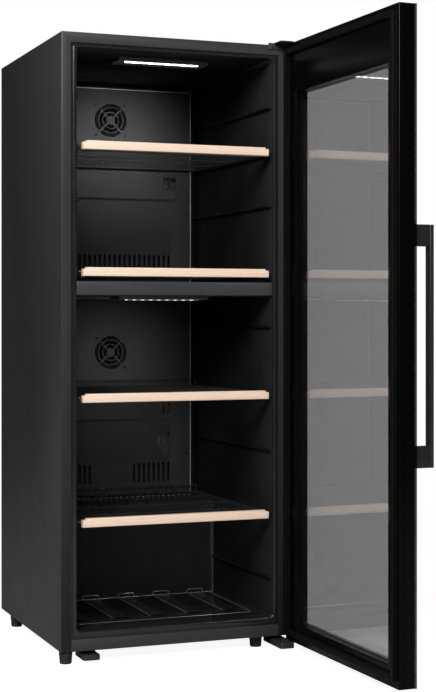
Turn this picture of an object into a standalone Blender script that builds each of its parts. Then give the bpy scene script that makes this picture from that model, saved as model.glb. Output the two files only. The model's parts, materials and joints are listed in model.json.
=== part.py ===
"""Two-zone wine cooler with a hinged glass door, four sliding shelves and two circulation fans.

Metres, +Z up, +Y towards the back, +X to the right. The cabinet is first described about its own
middle plane (x = 0), front face (y = 0) and the floor (z = 0). The root empty then moves it, so that
the world origin is on the floor, under the middle of the footprint with the door open.
"""

import math

import bmesh
import bpy
from mathutils import Matrix, Vector

# Cabinet
CASE_W = 0.595
CASE_D = 0.619
CASE_H = 1.500
FOOT_H = 0.030
SHEET = 0.001
CASE_EDGE_R = 0.003
POST_W = 0.025
TOP_RAIL = 0.026
BOTTOM_RAIL = 0.0285
RAIL_D = 0.012
TRAY_T = 0.0015
FIT = 0.0003

# Liner and insulation
SIDE_WALL = 0.039
TOP_WALL = 0.036
LINER_T = 0.002
LIP_H = 0.048
LIP_GROOVE = 0.0045
LIP_BEAD_D = 0.004
LIP_FLANGE_T = 0.0015
LIP_LAP = 0.014
LINER_CORNER_R = 0.012
BACK_WALL = 0.033
FLOOR_LOW = 0.038
FLOOR_RIB_H = 0.008
FLOOR_RIB_W = 0.045
FLOOR_RIB_PITCH = 0.100
SILL_D = 0.085
RIB_FRONT = 0.150
HUMP_D = 0.1647
HUMP_TOP = 0.300
BAY_INSULATION = 0.036
LEDGE_IN = 0.008
LEDGE_H = 0.006
LEDGE_FRONT = 0.012
LEDGE_BACK_GAP = 0.011
SPARE_LEVELS = (0.151, 0.4755, 0.7905, 1.0965, 1.347)

# Zone divider and lamps
DIVIDER_BOTTOM = 0.8625
DIVIDER_T = 0.0345
DIVIDER_SETBACK = 0.002
DIVIDER_WALL = 0.0025
DIVIDER_EDGE_R = 0.004
LAMP_W = 0.241
LAMP_D = 0.077
LAMP_T = 0.009
LAMP_FRONT = 0.098
LENS_W = 0.210
LENS_D = 0.016
LENS_SETBACK = 0.014
LENS_T = 0.003

# Air ducts on the back wall
DUCT_SIDE_GAP = 0.0195
DUCT_D = 0.030
DUCT_WALL = 0.002
DUCT_TOP_GAP = 0.014
FAN_FROM_CEILING = 0.103
FAN_FROM_DIVIDER = 0.153
GRILLE_R = 0.042
GRILLE_RINGS = 3
GRILLE_HUB_R = 0.012
GRILLE_WEB = 0.004
GRILLE_SPOKES = 4
SLOT_W = 0.0065
SLOT_PITCH = 0.0146
UPPER_SENSOR = (0.1754, 1.190)
LOWER_SENSOR = (0.1608, 0.548)
SENSOR_WINDOW = 0.034
SENSOR_SLITS = 5
SENSOR_SLIT_H = 0.0032
SENSOR_SLIT_PITCH = 0.006
SENSOR_R = 0.003
SENSOR_L = 0.018
SENSOR_SETBACK = 0.008

# Rows of outlet slots: (x of the first, how many, bottom, top)
UPPER_SLOTS = ((-0.0901, 19, 0.934, 0.984),)
LOWER_SLOTS = (
    (0.1434, 3, 0.531, 0.5655),
    (0.1434, 3, 0.446, 0.481),
    (0.0694, 8, 0.342, 0.396),
    (-0.0900, 3, 0.342, 0.396),
)

# Plate evaporators behind the ducts
EVAPORATOR_H = (0.280, 0.225)
EVAPORATOR_FAN_GAP = 0.030
EVAPORATOR_SIDE_GAP = 0.006
EVAPORATOR_T = 0.004
CHANNEL_PROUD = 0.005
CHANNEL_H = 0.008
CHANNEL_PITCH = 0.030
CHANNEL_MARGIN = 0.010

# Fans
FAN_SIZE = 0.086
FAN_D = 0.022
FAN_BORE_R = 0.0395
FAN_HUB_R = 0.015
FAN_BLADE_R = 0.037
FAN_BLADES = 7
FAN_BLADE_CHORD = 0.015
FAN_BLADE_T = 0.0016
FAN_BLADE_PITCH = 38.0
FAN_BLADE_ROOT = 0.002
FAN_BACK_WALL = 0.0025
FAN_SHAFT_R = 0.0016
FAN_SHAFT_GAP = 0.0004

# Shelves, numbered from the top
SHELF_1_LEVEL = 1.2277
SHELF_2_ABOVE_DIVIDER = 0.023
SHELF_3_LEVEL = 0.6125
SHELF_4_ABOVE_HUMP = 0.0103
SHELF_SIDE_GAP = 0.0025
SHELF_BACK_GAP = 0.006
SHELF_WIRE = 0.005
SHELF_BAR = 0.003
SHELF_BARS = 31
SHELF_STOP_H = 0.022
FRONT_SIDE_GAP = 0.0145
FRONT_H = 0.0215
FRONT_T = 0.020
FRONT_PROUD = 0.006
FRONT_EDGE_R = 0.002

# Feet: distance from the side, then from the front or, for the back feet, from the back
FRONT_LEFT_FOOT = (0.0165, 0.020)
FRONT_RIGHT_FOOT = (0.0725, 0.038)
BACK_FOOT = (0.0165, 0.109)
FOOT_TOP_R = 0.0165
FOOT_BASE_R = 0.0145
FOOT_BAND_H = 0.006
FOOT_CHAMFER = 0.001
SCREW_R = 0.004
SCREW_L = 0.014
SCREW_GAP = 0.0004

# Door, as wide as the cabinet, measured shut
DOOR_T = 0.044
DOOR_DROP = 0.007
DOOR_GAP = 0.011
DOOR_REST_DEG = 91.0
DOOR_EDGE_R = 0.0015
GLASS_T = 0.004
REVEAL = 0.012
SIDE_BORDER = 0.052
TOP_BORDER = 0.127
BOTTOM_BORDER = 0.048
REBATE = 0.010
FRAME_WALL = 0.003
FRAME_BACK_T = 0.005
SPACER_LIP = 0.001
FRAME_CORNER = 0.040
GASKET_W = 0.016
GASKET_EDGE = 0.009
GASKET_TOP = 0.0135
GASKET_BOTTOM = 0.0095
GASKET_EDGE_R = 0.002

# Door hinges
PIVOT_FROM_EDGE = 0.005
PIVOT_FROM_FACE = 0.005
PIN_R = 0.0025
PIN_HEAD_R = 0.0045
PIN_HEAD_T = 0.0016
BUSH_GAP = 0.0003
BUSH_R = 0.0036
BUSH_FLANGE_R = 0.0045
BUSH_FLANGE_T = 0.0008
BUSH_L = 0.012
HINGE_PLATE = 0.003
HINGE_CLEAR = 0.0012
ARM_W = 0.038
ARM_REACH = 0.046
LEAF_W = 0.053
LEAF_DROP = 0.012
BRACKET_CLEAR = 0.002
BRACKET_H = 0.015
BRACKET_REACH = 0.048
BRACKET_BACK = 0.070
BRACKET_WALL = 0.003
BRACKET_SEAT_D = 0.035
SUPPORT_W = 0.042
SUPPORT_X = 0.054
SUPPORT_H = 0.013
SUPPORT_REACH = 0.009

# Door handle
HANDLE_LOW = 0.476
HANDLE_HIGH = 1.015
HANDLE_LEG_H = 0.048
HANDLE_W = 0.022
HANDLE_T = 0.0095
HANDLE_PROJECTION = 0.050
HANDLE_FROM_EDGE = 0.012
HANDLE_EDGE_R = 0.0012

# Door electronics
DISPLAY_W = 0.120
DISPLAY_H = 0.028
DISPLAY_T = 0.006
BOARD_W = 0.180
BOARD_H = 0.050
BOARD_T = 0.0016
BOARD_SETBACK = 0.010

# Compressor bay
COMPRESSOR_R = 0.062
COMPRESSOR_H = 0.150
COMPRESSOR_FROM_SIDE = 0.1675
COMPRESSOR_BASE_H = 0.020
COMPRESSOR_BASE_SHARE = 0.8
COMPRESSOR_DOME_SHARE = 0.7
COMPRESSOR_DOME_STEPS = 6
MOUNT_T = 0.006
MOUNT_W = 0.150
MOUNT_D = 0.110
MOUNT_LIFT = 0.012
MOUNT_FOOT_R = 0.009
MOUNT_FOOT_IN = 0.012
DRIP_TRAY_W = 0.150
DRIP_TRAY_D = 0.100
DRIP_TRAY_H = 0.022
DRIP_TRAY_T = 0.002
CONDENSER_R = 0.0025
CONDENSER_W = 0.200
CONDENSER_FROM_SIDE = 0.1775
CONDENSER_RUNS = 8
CONDENSER_PITCH = 0.024
INLET_W = 0.028
INLET_H = 0.022
INLET_D = 0.026
INLET_FROM_SIDE = 0.0625
INLET_Z = 0.060
INLET_WALL = 0.003
SOCKET_D = 0.016
VENT_W = 0.005
VENT_H = 0.120
VENT_PITCH = 0.014
VENTS = 17

ROUND_STEPS = 16
FINE_STEPS = 12

# Worked out from the sizes above
Z0 = FOOT_H
Z1 = FOOT_H + CASE_H
HALF_W = CASE_W / 2
LINER_HALF = HALF_W - SIDE_WALL
LINER_BACK = CASE_D - BACK_WALL
HUMP_FRONT = LINER_BACK - HUMP_D
LEDGE_BACK = LINER_BACK - LEDGE_BACK_GAP
CEILING = Z1 - TOP_WALL
LIP_BOTTOM = Z0 + LIP_H
LINER_RIM_D = LIP_BEAD_D + LIP_FLANGE_T
BAY_FRONT = HUMP_FRONT + LINER_T + BAY_INSULATION
BAY_TOP = Z0 + HUMP_TOP - LINER_T - BAY_INSULATION
BACK_FACE = CASE_D - SHEET
DIVIDER_TOP = DIVIDER_BOTTOM + DIVIDER_T
DUCT_W = 2 * (LINER_HALF - DUCT_SIDE_GAP)
DUCT_FACE = LINER_BACK - DUCT_D
FAN_UPPER_Z = CEILING - FAN_FROM_CEILING
FAN_LOWER_Z = Z0 + DIVIDER_BOTTOM - FAN_FROM_DIVIDER
SHELF_LEVELS = (
    SHELF_1_LEVEL,
    DIVIDER_TOP + SHELF_2_ABOVE_DIVIDER,
    SHELF_3_LEVEL,
    HUMP_TOP + SHELF_4_ABOVE_HUMP,
)
SHELF_HALF_W = LINER_HALF - SHELF_SIDE_GAP
SHELF_BACK = DUCT_FACE - SHELF_BACK_GAP
FRONT_HALF_W = LINER_HALF - FRONT_SIDE_GAP
DOOR_HALF = HALF_W
DOOR_Z0 = Z0 - DOOR_DROP
DOOR_Z1 = Z1
DOOR_IN = -DOOR_GAP
DOOR_OUT = -DOOR_GAP - DOOR_T
PANE_IN = DOOR_IN - REVEAL
PIVOT_X = DOOR_HALF - PIVOT_FROM_EDGE
PIVOT_Y = DOOR_IN - PIVOT_FROM_FACE
FAN_FRONT = DUCT_FACE + DUCT_WALL + FIT
COMPRESSOR_X = HALF_W - COMPRESSOR_FROM_SIDE
CONDENSER_X = CONDENSER_FROM_SIDE - HALF_W
INLET_X = INLET_FROM_SIDE - HALF_W
OVER = 0.010


# Scene set-up and the shapes that the sub-parts share
def clear_scene():
    for obj in list(bpy.data.objects):
        bpy.data.objects.remove(obj, do_unlink=True)


def new_collection(name):
    collection = bpy.data.collections.new(name)
    bpy.context.scene.collection.children.link(collection)
    return collection


def material(name, colour, roughness, metallic=0.0, alpha=1.0):
    made = bpy.data.materials.new(name)
    made.use_nodes = True
    shader = made.node_tree.nodes["Principled BSDF"]
    shader.inputs["Base Color"].default_value = (*colour, 1.0)
    shader.inputs["Roughness"].default_value = roughness
    shader.inputs["Metallic"].default_value = metallic
    shader.inputs["Alpha"].default_value = alpha
    return made


def new_body(name, at, parent=None, turn_deg=0.0):
    """An empty on a joint's axis. Its pieces hang from it."""
    body = bpy.data.objects.new(name, None)
    PARTS.objects.link(body)
    body.parent = parent
    body["axis"] = at
    body.location = Vector(at) - Vector(parent["axis"]) if parent else Vector(at)
    body.rotation_euler.z = math.radians(turn_deg)
    return body


def place(mesh_maker, name, body, finish=None):
    """Turns a bmesh in cabinet coordinates into an object that hangs from its body."""
    bmesh.ops.translate(mesh_maker, verts=mesh_maker.verts, vec=-Vector(body["axis"]))
    mesh = bpy.data.meshes.new(name)
    mesh_maker.to_mesh(mesh)
    mesh_maker.free()
    obj = bpy.data.objects.new(name, mesh)
    obj.parent = body
    if finish:
        PARTS.objects.link(obj)
        mesh.materials.append(finish)
    else:
        CUTTERS.objects.link(obj)
        obj.hide_render = True
        obj.display_type = "WIRE"
    return obj


def add_box(mesh_maker, low, high):
    size = [b - a for a, b in zip(low, high)]
    middle = [(a + b) / 2 for a, b in zip(low, high)]
    matrix = Matrix.Translation(middle) @ Matrix.Diagonal((*size, 1.0))
    return bmesh.ops.create_cube(mesh_maker, size=1.0, matrix=matrix)["verts"]


def boxes(name, body, spans, finish=None):
    """One object of one or more boxes, each given as its low and its high corner."""
    mesh_maker = bmesh.new()
    for low, high in spans:
        add_box(mesh_maker, low, high)
    return place(mesh_maker, name, body, finish)


def round_box(name, body, low, high, radius, keep, finish=None, segments=3):
    """A box whose edges are rounded where keep(middle of the edge, direction) says so."""
    mesh_maker = bmesh.new()
    add_box(mesh_maker, low, high)
    chosen = [
        edge
        for edge in mesh_maker.edges
        if keep((edge.verts[0].co + edge.verts[1].co) / 2, edge.verts[0].co - edge.verts[1].co)
    ]
    bmesh.ops.bevel(
        mesh_maker, geom=chosen, offset=radius, segments=segments, profile=0.5, affect="EDGES"
    )
    return place(mesh_maker, name, body, finish)


def cylinders(name, body, centres, radius, low, high, axis="Z", finish=None, steps=ROUND_STEPS):
    """One object of equal cylinders along an axis, from low to high on that axis."""
    mesh_maker = bmesh.new()
    turn = Matrix.Rotation(math.radians(-90), 4, "X") if axis == "Y" else Matrix.Identity(4)
    for centre in centres:
        middle = Vector(centre)
        middle["XYZ".index(axis)] = (low + high) / 2
        bmesh.ops.create_cone(
            mesh_maker, cap_ends=True, segments=steps, radius1=radius, radius2=radius,
            depth=high - low, matrix=Matrix.Translation(middle) @ turn,
        )
    return place(mesh_maker, name, body, finish)


def turned(name, body, at, profile, finish, steps=ROUND_STEPS, closed=False):
    """A profile of (radius, height) points, listed down its outer side, turned about Z at a point."""
    mesh_maker = bmesh.new()
    verts = [mesh_maker.verts.new((at[0] + r, at[1], at[2] + z)) for r, z in profile]
    pairs = list(zip(verts, verts[1:])) + ([(verts[-1], verts[0])] if closed else [])
    for first, second in pairs:
        mesh_maker.edges.new((first, second))
    bmesh.ops.translate(mesh_maker, verts=mesh_maker.verts, vec=Vector(body["axis"]) - Vector(at))
    obj = place(mesh_maker, name, body, finish)
    obj.location = Vector(at) - Vector(body["axis"])
    screw = obj.modifiers.new("Turn", "SCREW")
    screw.axis = "Z"
    screw.angle = math.tau
    screw.steps = steps
    screw.render_steps = steps
    screw.use_merge_vertices = True
    screw.merge_threshold = 0.00005
    screw.use_smooth_shade = True
    return obj


def combine(target, other, operation):
    modifier = target.modifiers.new(other.name, "BOOLEAN")
    modifier.operation = operation
    modifier.solver = "EXACT"
    modifier.use_self = True
    modifier.object = other


def cut(target, *others):
    for other in others:
        combine(target, other, "DIFFERENCE")


def join(target, *others):
    for other in others:
        combine(target, other, "UNION")


def along_x(middle, direction):
    return abs(direction.x) > max(abs(direction.y), abs(direction.z))


def along_y(middle, direction):
    return abs(direction.y) > max(abs(direction.x), abs(direction.z))


# Cabinet shell
def case_edges(middle, direction):
    """The upright front edges and the three outer edges of the top."""
    upright = abs(direction.z) > max(abs(direction.x), abs(direction.y))
    front = middle.y < CASE_D / 4
    top = middle.z > Z1 - CASE_H / 4
    return (upright and front) or (top and not upright and middle.y < CASE_D - SHEET)


def make_outer_casing():
    casing = round_box(
        "outer_casing", CABINET, (-HALF_W, 0, Z0), (HALF_W, CASE_D, Z1),
        CASE_EDGE_R, case_edges, STEEL_BLACK,
    )
    inside = round_box(
        "cut_casing_inside", CABINET,
        (SHEET - HALF_W, SHEET, Z0 - OVER), (HALF_W - SHEET, CASE_D + OVER, Z1 - SHEET),
        CASE_EDGE_R - SHEET, case_edges,
    )
    opening = HALF_W - POST_W
    front = boxes(
        "cut_casing_front", CABINET,
        [((-opening, -OVER, Z0 - OVER), (opening, SHEET + OVER, Z1 - TOP_RAIL))],
    )
    cut(casing, inside, front)


def make_front_bottom_rail():
    half = HALF_W - POST_W - FIT
    rail = boxes(
        "front_bottom_rail", CABINET, [((-half, 0, Z0), (half, RAIL_D, Z0 + BOTTOM_RAIL))], STEEL_BLACK
    )
    hollow = boxes(
        "cut_rail", CABINET,
        [((-half - OVER, SHEET, Z0 + SHEET), (half + OVER, RAIL_D + OVER, Z0 + BOTTOM_RAIL + OVER))],
    )
    cut(rail, hollow)


def foot_centres():
    return {
        "front_left_foot": (FRONT_LEFT_FOOT[0] - HALF_W, FRONT_LEFT_FOOT[1]),
        "front_right_foot": (HALF_W - FRONT_RIGHT_FOOT[0], FRONT_RIGHT_FOOT[1]),
        "back_left_foot": (BACK_FOOT[0] - HALF_W, CASE_D - BACK_FOOT[1]),
        "back_right_foot": (HALF_W - BACK_FOOT[0], CASE_D - BACK_FOOT[1]),
    }


def screw_holes(name, radius, high):
    centres = [(x, y, 0) for x, y in foot_centres().values()]
    return cylinders(name, CABINET, centres, radius, Z0 - OVER, high)


def make_base_plate():
    half = HALF_W - SHEET - FIT
    plate = boxes(
        "base_plate", CABINET, [((-half, RAIL_D + FIT, Z0), (half, BAY_FRONT, Z0 + SHEET))], STEEL_ZINC
    )
    cut(plate, screw_holes("cut_base_screws", SCREW_R + SCREW_GAP, Z0 + OVER))


def make_compressor_tray():
    half = HALF_W - SHEET - FIT
    tray = boxes(
        "compressor_tray", CABINET,
        [((-half, BAY_FRONT + FIT, Z0), (half, BACK_FACE - FIT, Z0 + TRAY_T))], STEEL_ZINC,
    )
    cut(tray, screw_holes("cut_tray_screws", SCREW_R + SCREW_GAP, Z0 + OVER))


def make_rear_panel():
    half = HALF_W - SHEET - FIT
    round_box(
        "rear_panel", CABINET, (-half, BACK_FACE, BAY_TOP), (half, CASE_D, Z1 - SHEET - FIT), CASE_EDGE_R,
        lambda middle, direction: along_y(middle, direction) and middle.z > Z1 - CASE_H / 4, STEEL_ZINC, 2,
    )


def make_compressor_cover():
    half = HALF_W - SHEET - FIT
    low = Z0 + FIT
    cover = boxes(
        "compressor_cover", CABINET, [((-half, BACK_FACE, low), (half, CASE_D, BAY_TOP - FIT))], STEEL_ZINC
    )
    middle = (low + BAY_TOP) / 2
    first = COMPRESSOR_X / 2 - (VENTS - 1) / 2 * VENT_PITCH
    vents = []
    for i in range(VENTS):
        left = first + i * VENT_PITCH - VENT_W / 2
        bottom = middle - VENT_H / 2
        vents.append(((left, BACK_FACE - OVER, bottom), (left + VENT_W, CASE_D + OVER, bottom + VENT_H)))
    cut(cover, boxes("cut_vents", CABINET, vents), boxes("cut_inlet_window", CABINET, [inlet_span(FIT)]))


def make_foam_insulation():
    half = HALF_W - SHEET - FIT
    foam = round_box(
        "foam_insulation", CABINET,
        (-half, LINER_RIM_D + FIT, Z0 + SHEET + FIT), (half, BACK_FACE - FIT, Z1 - SHEET - FIT),
        CASE_EDGE_R, case_edges, FOAM, 2,
    )
    rail = boxes(
        "cut_foam_rail", CABINET,
        [((-half - OVER, -OVER, Z0 - OVER), (half + OVER, RAIL_D + FIT, Z0 + BOTTOM_RAIL + FIT))],
    )
    bay = boxes(
        "cut_foam_bay", CABINET,
        [((-half - OVER, BAY_FRONT, Z0 - OVER), (half + OVER, CASE_D + OVER, BAY_TOP))],
    )
    screws = screw_holes("cut_foam_screws", SCREW_R + 2 * SCREW_GAP, Z0 + SCREW_L + 2 * SCREW_GAP)
    cut(foam, liner_blank("cut_foam_liner", FIT), rail, bay, screws)


# Liner
def liner_blank(name, grow, finish=None):
    """The liner's outer form without its cavity. The foam is cut by the same form, grown by a gap."""
    side = LINER_HALF + LINER_T + grow
    low = Z0 + FLOOR_LOW - LINER_T - grow
    high = CEILING + LINER_T + grow
    back = LINER_BACK + LINER_T + grow
    tub = boxes(name, CABINET, [((-side, LIP_BEAD_D, low), (side, back, high))], finish)
    step_front = HUMP_FRONT + LINER_T + grow
    step_top = Z0 + HUMP_TOP - LINER_T - grow
    step = boxes(
        name + "_step", CABINET,
        [((-side - OVER, step_front, low - OVER), (side + OVER, back + OVER, step_top))],
    )
    cut(tub, step)
    bead = HALF_W - POST_W - LIP_GROOVE
    rail_low, rail_high = Z0 + BOTTOM_RAIL, Z1 - TOP_RAIL
    rim_back = LIP_BEAD_D + LIP_FLANGE_T / 2
    rim = boxes(
        name + "_rim", CABINET,
        [((-bead, -grow, rail_low + LIP_GROOVE), (bead, rim_back, rail_high - LIP_GROOVE))],
    )
    lap = bead + LIP_LAP
    flange = boxes(
        name + "_flange", CABINET,
        [((-lap, LIP_BEAD_D, rail_low - LIP_LAP / 2), (lap, LINER_RIM_D, rail_high + LIP_LAP - LIP_GROOVE))],
    )
    join(tub, rim, flange)
    return tub


def make_inner_liner():
    liner = liner_blank("inner_liner", 0.0, HIPS_BLACK)
    cavity = round_box(
        "cut_cavity", CABINET,
        (-LINER_HALF, -OVER, LIP_BOTTOM), (LINER_HALF, LINER_BACK, CEILING), LINER_CORNER_R, along_y,
    )
    hump = boxes(
        "cut_cavity_hump", CABINET,
        [((-HALF_W, HUMP_FRONT, Z0 - OVER), (HALF_W, CASE_D, Z0 + HUMP_TOP))],
    )
    cut(cavity, hump)
    cut(liner, cavity, boxes("cut_floor", CABINET, floor_channels()))
    join(liner, boxes("liner_ledges", CABINET, shelf_ledges()))


def floor_channels():
    """The sunk floor behind the sill, and the deeper channels between its ribs."""
    top = LIP_BOTTOM + LINER_CORNER_R
    inset = LINER_HALF - LINER_CORNER_R / 2
    rib_top = Z0 + FLOOR_LOW + FLOOR_RIB_H
    count = int((2 * inset) // FLOOR_RIB_PITCH)
    centres = [(i - (count - 1) / 2) * FLOOR_RIB_PITCH for i in range(count)]
    spans = [((-inset, SILL_D, rib_top), (inset, HUMP_FRONT, top))]
    edges = [-inset] + [x for c in centres for x in (c - FLOOR_RIB_W / 2, c + FLOOR_RIB_W / 2)] + [inset]
    for left, right in zip(edges[::2], edges[1::2]):
        spans.append(((left, RIB_FRONT, Z0 + FLOOR_LOW), (right, HUMP_FRONT, rib_top + FIT)))
    return spans


def shelf_ledges():
    """Moulded runners on both side walls, at each shelf's level and at the spare levels."""
    spans = []
    for level in SHELF_LEVELS + SPARE_LEVELS:
        top = Z0 + level - SHELF_WIRE / 2 - FIT
        back = LEDGE_BACK if level > HUMP_TOP else HUMP_FRONT - FIT
        inner, outer = LINER_HALF - LEDGE_IN, LINER_HALF + LINER_T / 2
        for left, right in ((-outer, -inner), (inner, outer)):
            spans.append(((left, LEDGE_FRONT, top - LEDGE_H), (right, back, top)))
    return spans


def front_edges(middle, direction):
    return along_x(middle, direction) and middle.y < CASE_D / 4


def make_zone_divider():
    half = LINER_HALF - FIT
    low, high = Z0 + DIVIDER_BOTTOM, Z0 + DIVIDER_TOP
    divider = round_box(
        "zone_divider", CABINET, (-half, DIVIDER_SETBACK, low), (half, LINER_BACK - FIT, high),
        DIVIDER_EDGE_R, front_edges, HIPS_GREY,
    )
    hollow = boxes(
        "cut_divider", CABINET,
        [((DIVIDER_WALL - half, DIVIDER_SETBACK + 2 * DIVIDER_WALL, low + DIVIDER_WALL),
          (half - DIVIDER_WALL, LINER_BACK + OVER, high - DIVIDER_WALL))],
    )
    cut(divider, hollow)


def make_lamp(name, ceiling):
    """A shallow lamp under a ceiling, with its lens let into the underside."""
    front, back = LAMP_FRONT, LAMP_FRONT + LAMP_D
    low, high = ceiling - FIT - LAMP_T, ceiling - FIT
    span = ((-LAMP_W / 2, front, low), (LAMP_W / 2, back, high))
    housing = boxes(name + "_housing", CABINET, [span], ABS_GREY)
    lens_front = front + LENS_SETBACK
    lens_back = lens_front + LENS_D
    half = LENS_W / 2
    pocket = boxes(
        "cut_" + name, CABINET,
        [((-half - FIT, lens_front - FIT, low - OVER), (half + FIT, lens_back + FIT, low + LENS_T + FIT))],
    )
    cut(housing, pocket)
    boxes(name + "_lens", CABINET, [((-half, lens_front, low), (half, lens_back, low + LENS_T))], LENS_WHITE)


# Air ducts
def arc(radius, start, spokes, web, steps):
    """Points on the arc between two spokes, each of which is as wide as the web."""
    trim = math.asin(web / 2 / radius)
    sweep = math.tau / spokes - 2 * trim
    angles = [start + trim + i / steps * sweep for i in range(steps + 1)]
    return [(radius * math.cos(a), radius * math.sin(a)) for a in angles]


def ring_sectors(name, body, centre, rings, low, high, spokes, web, steps=4):
    """Curved slots between the spokes of a round grille, for each (inner, outer) radius, along Y."""
    mesh_maker = bmesh.new()
    for inner, outer in rings:
        for spoke in range(spokes):
            start = math.tau * (spoke + 0.5) / spokes
            outline = arc(inner, start, spokes, web, steps)
            outline += reversed(arc(outer, start, spokes, web, steps))
            verts = [mesh_maker.verts.new((centre[0] + x, low, centre[2] + z)) for x, z in outline]
            face = mesh_maker.faces.new(verts)
            moved = bmesh.ops.extrude_face_region(mesh_maker, geom=[face])["geom"]
            top = [v for v in moved if isinstance(v, bmesh.types.BMVert)]
            bmesh.ops.translate(mesh_maker, verts=top, vec=(0, high - low, 0))
    bmesh.ops.recalc_face_normals(mesh_maker, faces=mesh_maker.faces)
    return place(mesh_maker, name, body)


def grille_cutters(name, height):
    step = (GRILLE_R - GRILLE_HUB_R) / GRILLE_RINGS
    rings = [
        (GRILLE_HUB_R + i * step + GRILLE_WEB / 4, GRILLE_HUB_R + (i + 1) * step - GRILLE_WEB)
        for i in range(GRILLE_RINGS)
    ]
    low, high = DUCT_FACE - OVER, DUCT_FACE + OVER
    return ring_sectors(name, CABINET, (0, 0, height), rings, low, high, GRILLE_SPOKES, GRILLE_WEB)


def slots(rows):
    spans = []
    for first_x, count, low, high in rows:
        for i in range(count):
            left = first_x + i * SLOT_PITCH - SLOT_W / 2
            spans.append(((left, DUCT_FACE - OVER, Z0 + low), (left + SLOT_W, DUCT_FACE + OVER, Z0 + high)))
    return spans


def sensor_slits():
    """The slits in front of the upper zone's temperature sensor."""
    x, z = UPPER_SENSOR
    left, right = x - SENSOR_WINDOW / 2, x + SENSOR_WINDOW / 2
    spans = []
    for i in range(SENSOR_SLITS):
        low = Z0 + z + (i - (SENSOR_SLITS - 1) / 2) * SENSOR_SLIT_PITCH - SENSOR_SLIT_H / 2
        spans.append(((left, DUCT_FACE - OVER, low), (right, DUCT_FACE + OVER, low + SENSOR_SLIT_H)))
    return spans


def duct_box(name, low, high):
    """An open-backed cover that stands off the liner's back wall and carries the air."""
    half, back = DUCT_W / 2, LINER_BACK - FIT
    panel = boxes(name, CABINET, [((-half, DUCT_FACE, low), (half, back, high))], HIPS_BLACK)
    inner = half - DUCT_WALL
    inside = boxes(
        "cut_" + name, CABINET,
        [((-inner, DUCT_FACE + DUCT_WALL, low + DUCT_WALL), (inner, back + OVER, high - DUCT_WALL))],
    )
    cut(panel, inside)
    return panel


def make_upper_duct_panel():
    panel = duct_box("upper_duct_panel", Z0 + DIVIDER_TOP + FIT, CEILING - DUCT_TOP_GAP)
    openings = boxes("cut_upper_slots", CABINET, slots(UPPER_SLOTS) + sensor_slits())
    cut(panel, grille_cutters("cut_upper_grille", FAN_UPPER_Z), openings)


def make_lower_duct_panel():
    panel = duct_box("lower_duct_panel", Z0 + HUMP_TOP + FIT, Z0 + DIVIDER_BOTTOM - FIT)
    openings = boxes("cut_lower_slots", CABINET, slots(LOWER_SLOTS))
    cut(panel, grille_cutters("cut_lower_grille", FAN_LOWER_Z), openings)


def make_fan(name, height, rotor_body):
    """A square frame with a bore, and a bladed rotor whose shaft runs in the frame's back wall."""
    half = FAN_SIZE / 2
    back = FAN_FRONT + FAN_D
    wall = back - FAN_BACK_WALL
    centre = (0, 0, height)
    span = ((-half, FAN_FRONT, height - half), (half, back, height + half))
    frame = boxes(name + "_frame", CABINET, [span], ABS_BLACK)
    bore = cylinders("cut_" + name + "_bore", CABINET, [centre], FAN_BORE_R, FAN_FRONT - OVER, wall, "Y")
    vents = ring_sectors(
        "cut_" + name + "_back", CABINET, centre, [(FAN_HUB_R, FAN_BLADE_R)], wall - OVER, back + OVER,
        GRILLE_SPOKES, 2 * GRILLE_WEB,
    )
    hole_r = FAN_SHAFT_R + FAN_SHAFT_GAP
    shaft_hole = cylinders("cut_" + name + "_shaft", CABINET, [centre], hole_r, wall - OVER, back + OVER, "Y")
    cut(frame, bore, vents, shaft_hole)
    hub_front, hub_back = FAN_FRONT + FAN_BACK_WALL, wall - FAN_BACK_WALL / 2
    rotor = cylinders(
        name + "_rotor", rotor_body, [centre], FAN_HUB_R, hub_front, hub_back, "Y", ABS_BLACK
    )
    shaft = cylinders(name + "_shaft_form", rotor_body, [centre], FAN_SHAFT_R, hub_back - OVER / 2, back, "Y")
    blades = fan_blades(name + "_blade_forms", rotor_body, height, (hub_front + hub_back) / 2)
    join(rotor, blades, shaft)


def fan_blades(name, body, height, middle):
    mesh_maker = bmesh.new()
    low = (FAN_HUB_R - FAN_BLADE_ROOT, -FAN_BLADE_T / 2, -FAN_BLADE_CHORD / 2)
    high = (FAN_BLADE_R, FAN_BLADE_T / 2, FAN_BLADE_CHORD / 2)
    for blade in range(FAN_BLADES):
        verts = add_box(mesh_maker, low, high)
        pitch = Matrix.Rotation(math.radians(FAN_BLADE_PITCH), 4, "X")
        spread = Matrix.Rotation(math.tau * blade / FAN_BLADES, 4, "Y")
        bmesh.ops.transform(
            mesh_maker, verts=verts, matrix=Matrix.Translation((0, middle, height)) @ spread @ pitch
        )
    return place(mesh_maker, name, body)


def make_evaporator(name, fan_z, height):
    """A plate cooler behind the duct panel, below the fan, with raised channels across it."""
    half = DUCT_W / 2 - EVAPORATOR_SIDE_GAP
    back = LINER_BACK - 2 * FIT
    face = back - EVAPORATOR_T
    high = fan_z - FAN_SIZE / 2 - EVAPORATOR_FAN_GAP
    low = high - height
    plate = boxes(name, CABINET, [((-half, face, low), (half, back, high))], ALUMINIUM)
    inner = half - CHANNEL_MARGIN
    spans = []
    for i in range(int(height // CHANNEL_PITCH)):
        z = low + CHANNEL_MARGIN + i * CHANNEL_PITCH
        spans.append(((-inner, face - CHANNEL_PROUD, z), (inner, face + EVAPORATOR_T / 2, z + CHANNEL_H)))
    join(plate, boxes(name + "_channels", CABINET, spans))


def make_temperature_sensor(name, x, height):
    cylinders(
        name, CABINET, [(x, DUCT_FACE + SENSOR_SETBACK, 0)], SENSOR_R,
        height - SENSOR_L / 2, height + SENSOR_L / 2, "Z", ABS_BLACK, FINE_STEPS,
    )


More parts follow.
